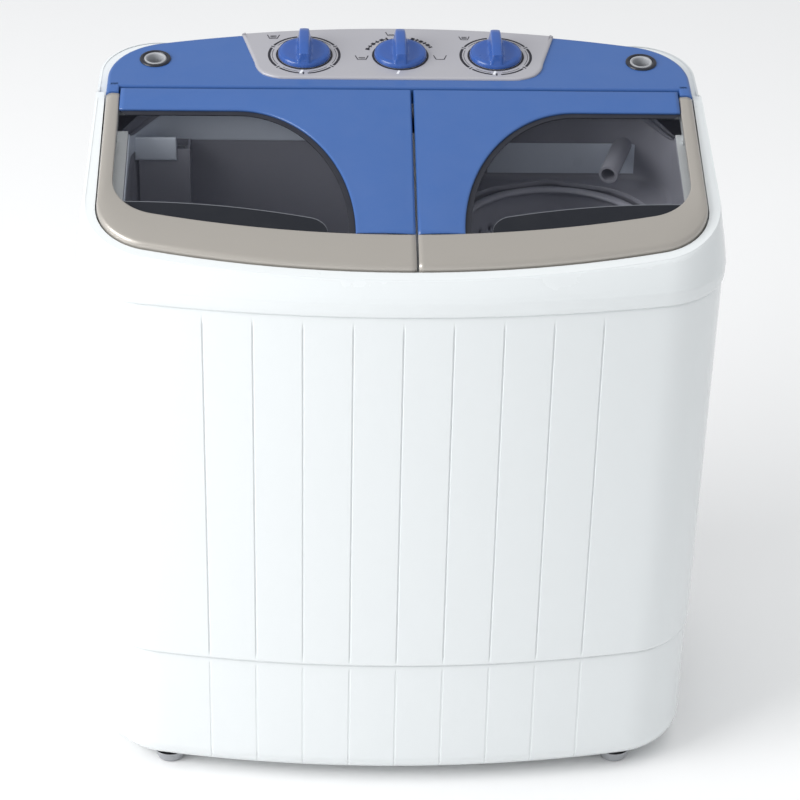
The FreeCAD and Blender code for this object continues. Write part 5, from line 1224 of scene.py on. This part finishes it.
class WASHER_OT_stage(bpy.types.Operator):
    """Pale floor, soft studio light and the camera"""
    bl_idname = "washer.stage"
    bl_label = "Stage"

    def execute(self, context):
        scene = context.scene
        values = scene.washer_stage
        finish("studio_floor", values.floor, 0.6, shade=0.99, bump=0.02, wear=0.0, dust=0.0, drift=0.3)
        u = np.linspace(-14000.0, 14000.0, 15)
        x, y = np.meshgrid(u, u)
        floor = piece("floor", one(upright(x, y, -0.02)), look("studio_floor"), "cabinet")
        scene.world = self.surroundings(values.air)
        scene.view_settings.view_transform = "Standard"
        lamp("key", "AREA", (-2.8, -1.3, 2.0), (0.0, 0.0, 0.4), values.key, (2.2, 2.2))
        overhead = lamp("fill", "AREA", (0.6, 0.2, 3.2), (0.6, 0.19, 0.0), values.fill, (3.0, 3.0))
        overhead.visible_glossy = False
        self.camera(scene)
        return {"FINISHED"}

    def surroundings(self, air):
        """Even white surroundings, whose reflections fade from the horizon up."""
        world = bpy.data.worlds.new("studio")
        world.use_nodes = True
        tree = world.node_tree
        back = tree.nodes["Background"]
        back.inputs["Color"].default_value = (0.97, 0.985, 1.0, 1.0)
        split = tree.nodes.new("ShaderNodeSeparateXYZ")
        tree.links.new(tree.nodes.new("ShaderNodeTexCoord").outputs["Generated"], split.inputs[0])
        lost = maths(tree, "MULTIPLY", maths(tree, "ADD", split.outputs["Z"], 0.05, True), 0.8, True)
        ray = tree.nodes.new("ShaderNodeLightPath").outputs["Is Glossy Ray"]
        left = maths(tree, "SUBTRACT", 1.0, maths(tree, "MULTIPLY", lost, ray))
        tree.links.new(maths(tree, "MULTIPLY", left, air), back.inputs["Strength"])
        return world

    def camera(self, scene):
        """Camera that looks down at the front, turned a little right and rolled a little."""
        yaw, pitch, roll = math.radians(2.0), math.radians(31.0), math.radians(-1.25)
        forward = np.array([math.sin(yaw) * math.cos(pitch), math.cos(yaw) * math.cos(pitch),
                            -math.sin(pitch)])
        right = np.array([math.cos(yaw), -math.sin(yaw), 0.0])
        down = np.cross(forward, right)
        across = math.cos(roll) * right + math.sin(roll) * down
        fall = -math.sin(roll) * right + math.cos(roll) * down
        data = bpy.data.cameras.new("camera")
        data.lens = 119.3
        data.sensor_width = 36.0
        data.shift_x, data.shift_y = 0.0035, 0.0125
        data.clip_end = 100.0
        cam = bpy.data.objects.new("camera", data)
        scene.collection.objects.link(cam)
        place = (-0.0762, -2.2273, 1.6691)
        cam.matrix_world = stand(across, -fall, -forward, place)
        scene.camera = cam


class WASHER_PT_panel(bpy.types.Panel):
    """Sizes, colours and pieces of the washer"""
    bl_label = "Washer"
    bl_idname = "WASHER_PT_panel"
    bl_space_type = "VIEW_3D"
    bl_region_type = "UI"
    bl_category = "Washer"

    def draw(self, context):
        for settings in (context.scene.washer_finishes, context.scene.washer_sizes,
                         context.scene.washer_stage):
            box = self.layout.box()
            for key in settings.__annotations__:
                box.prop(settings, key)
        for operator in OPERATORS:
            self.layout.operator(operator.bl_idname)


OPERATORS = (WASHER_OT_finishes, WASHER_OT_cabinet, WASHER_OT_top_frame, WASHER_OT_lids, WASHER_OT_console,
             WASHER_OT_knobs, WASHER_OT_tubs, WASHER_OT_bellows, WASHER_OT_feet, WASHER_OT_stage)
GROUPS = (WasherFinishes, WasherSizes, WasherStage)


def register():
    for cls in GROUPS + OPERATORS + (WASHER_PT_panel,):
        bpy.utils.register_class(cls)
    bpy.types.Scene.washer_finishes = bpy.props.PointerProperty(type=WasherFinishes)
    bpy.types.Scene.washer_sizes = bpy.props.PointerProperty(type=WasherSizes)
    bpy.types.Scene.washer_stage = bpy.props.PointerProperty(type=WasherStage)


def unregister():
    del bpy.types.Scene.washer_finishes
    del bpy.types.Scene.washer_sizes
    del bpy.types.Scene.washer_stage
    for cls in reversed(GROUPS + OPERATORS + (WASHER_PT_panel,)):
        bpy.utils.unregister_class(cls)


def main():
    register()
    for operator in OPERATORS:
        family, call = operator.bl_idname.split(".")
        getattr(getattr(bpy.ops, family), call)()


if __name__ == "__main__":
    main()
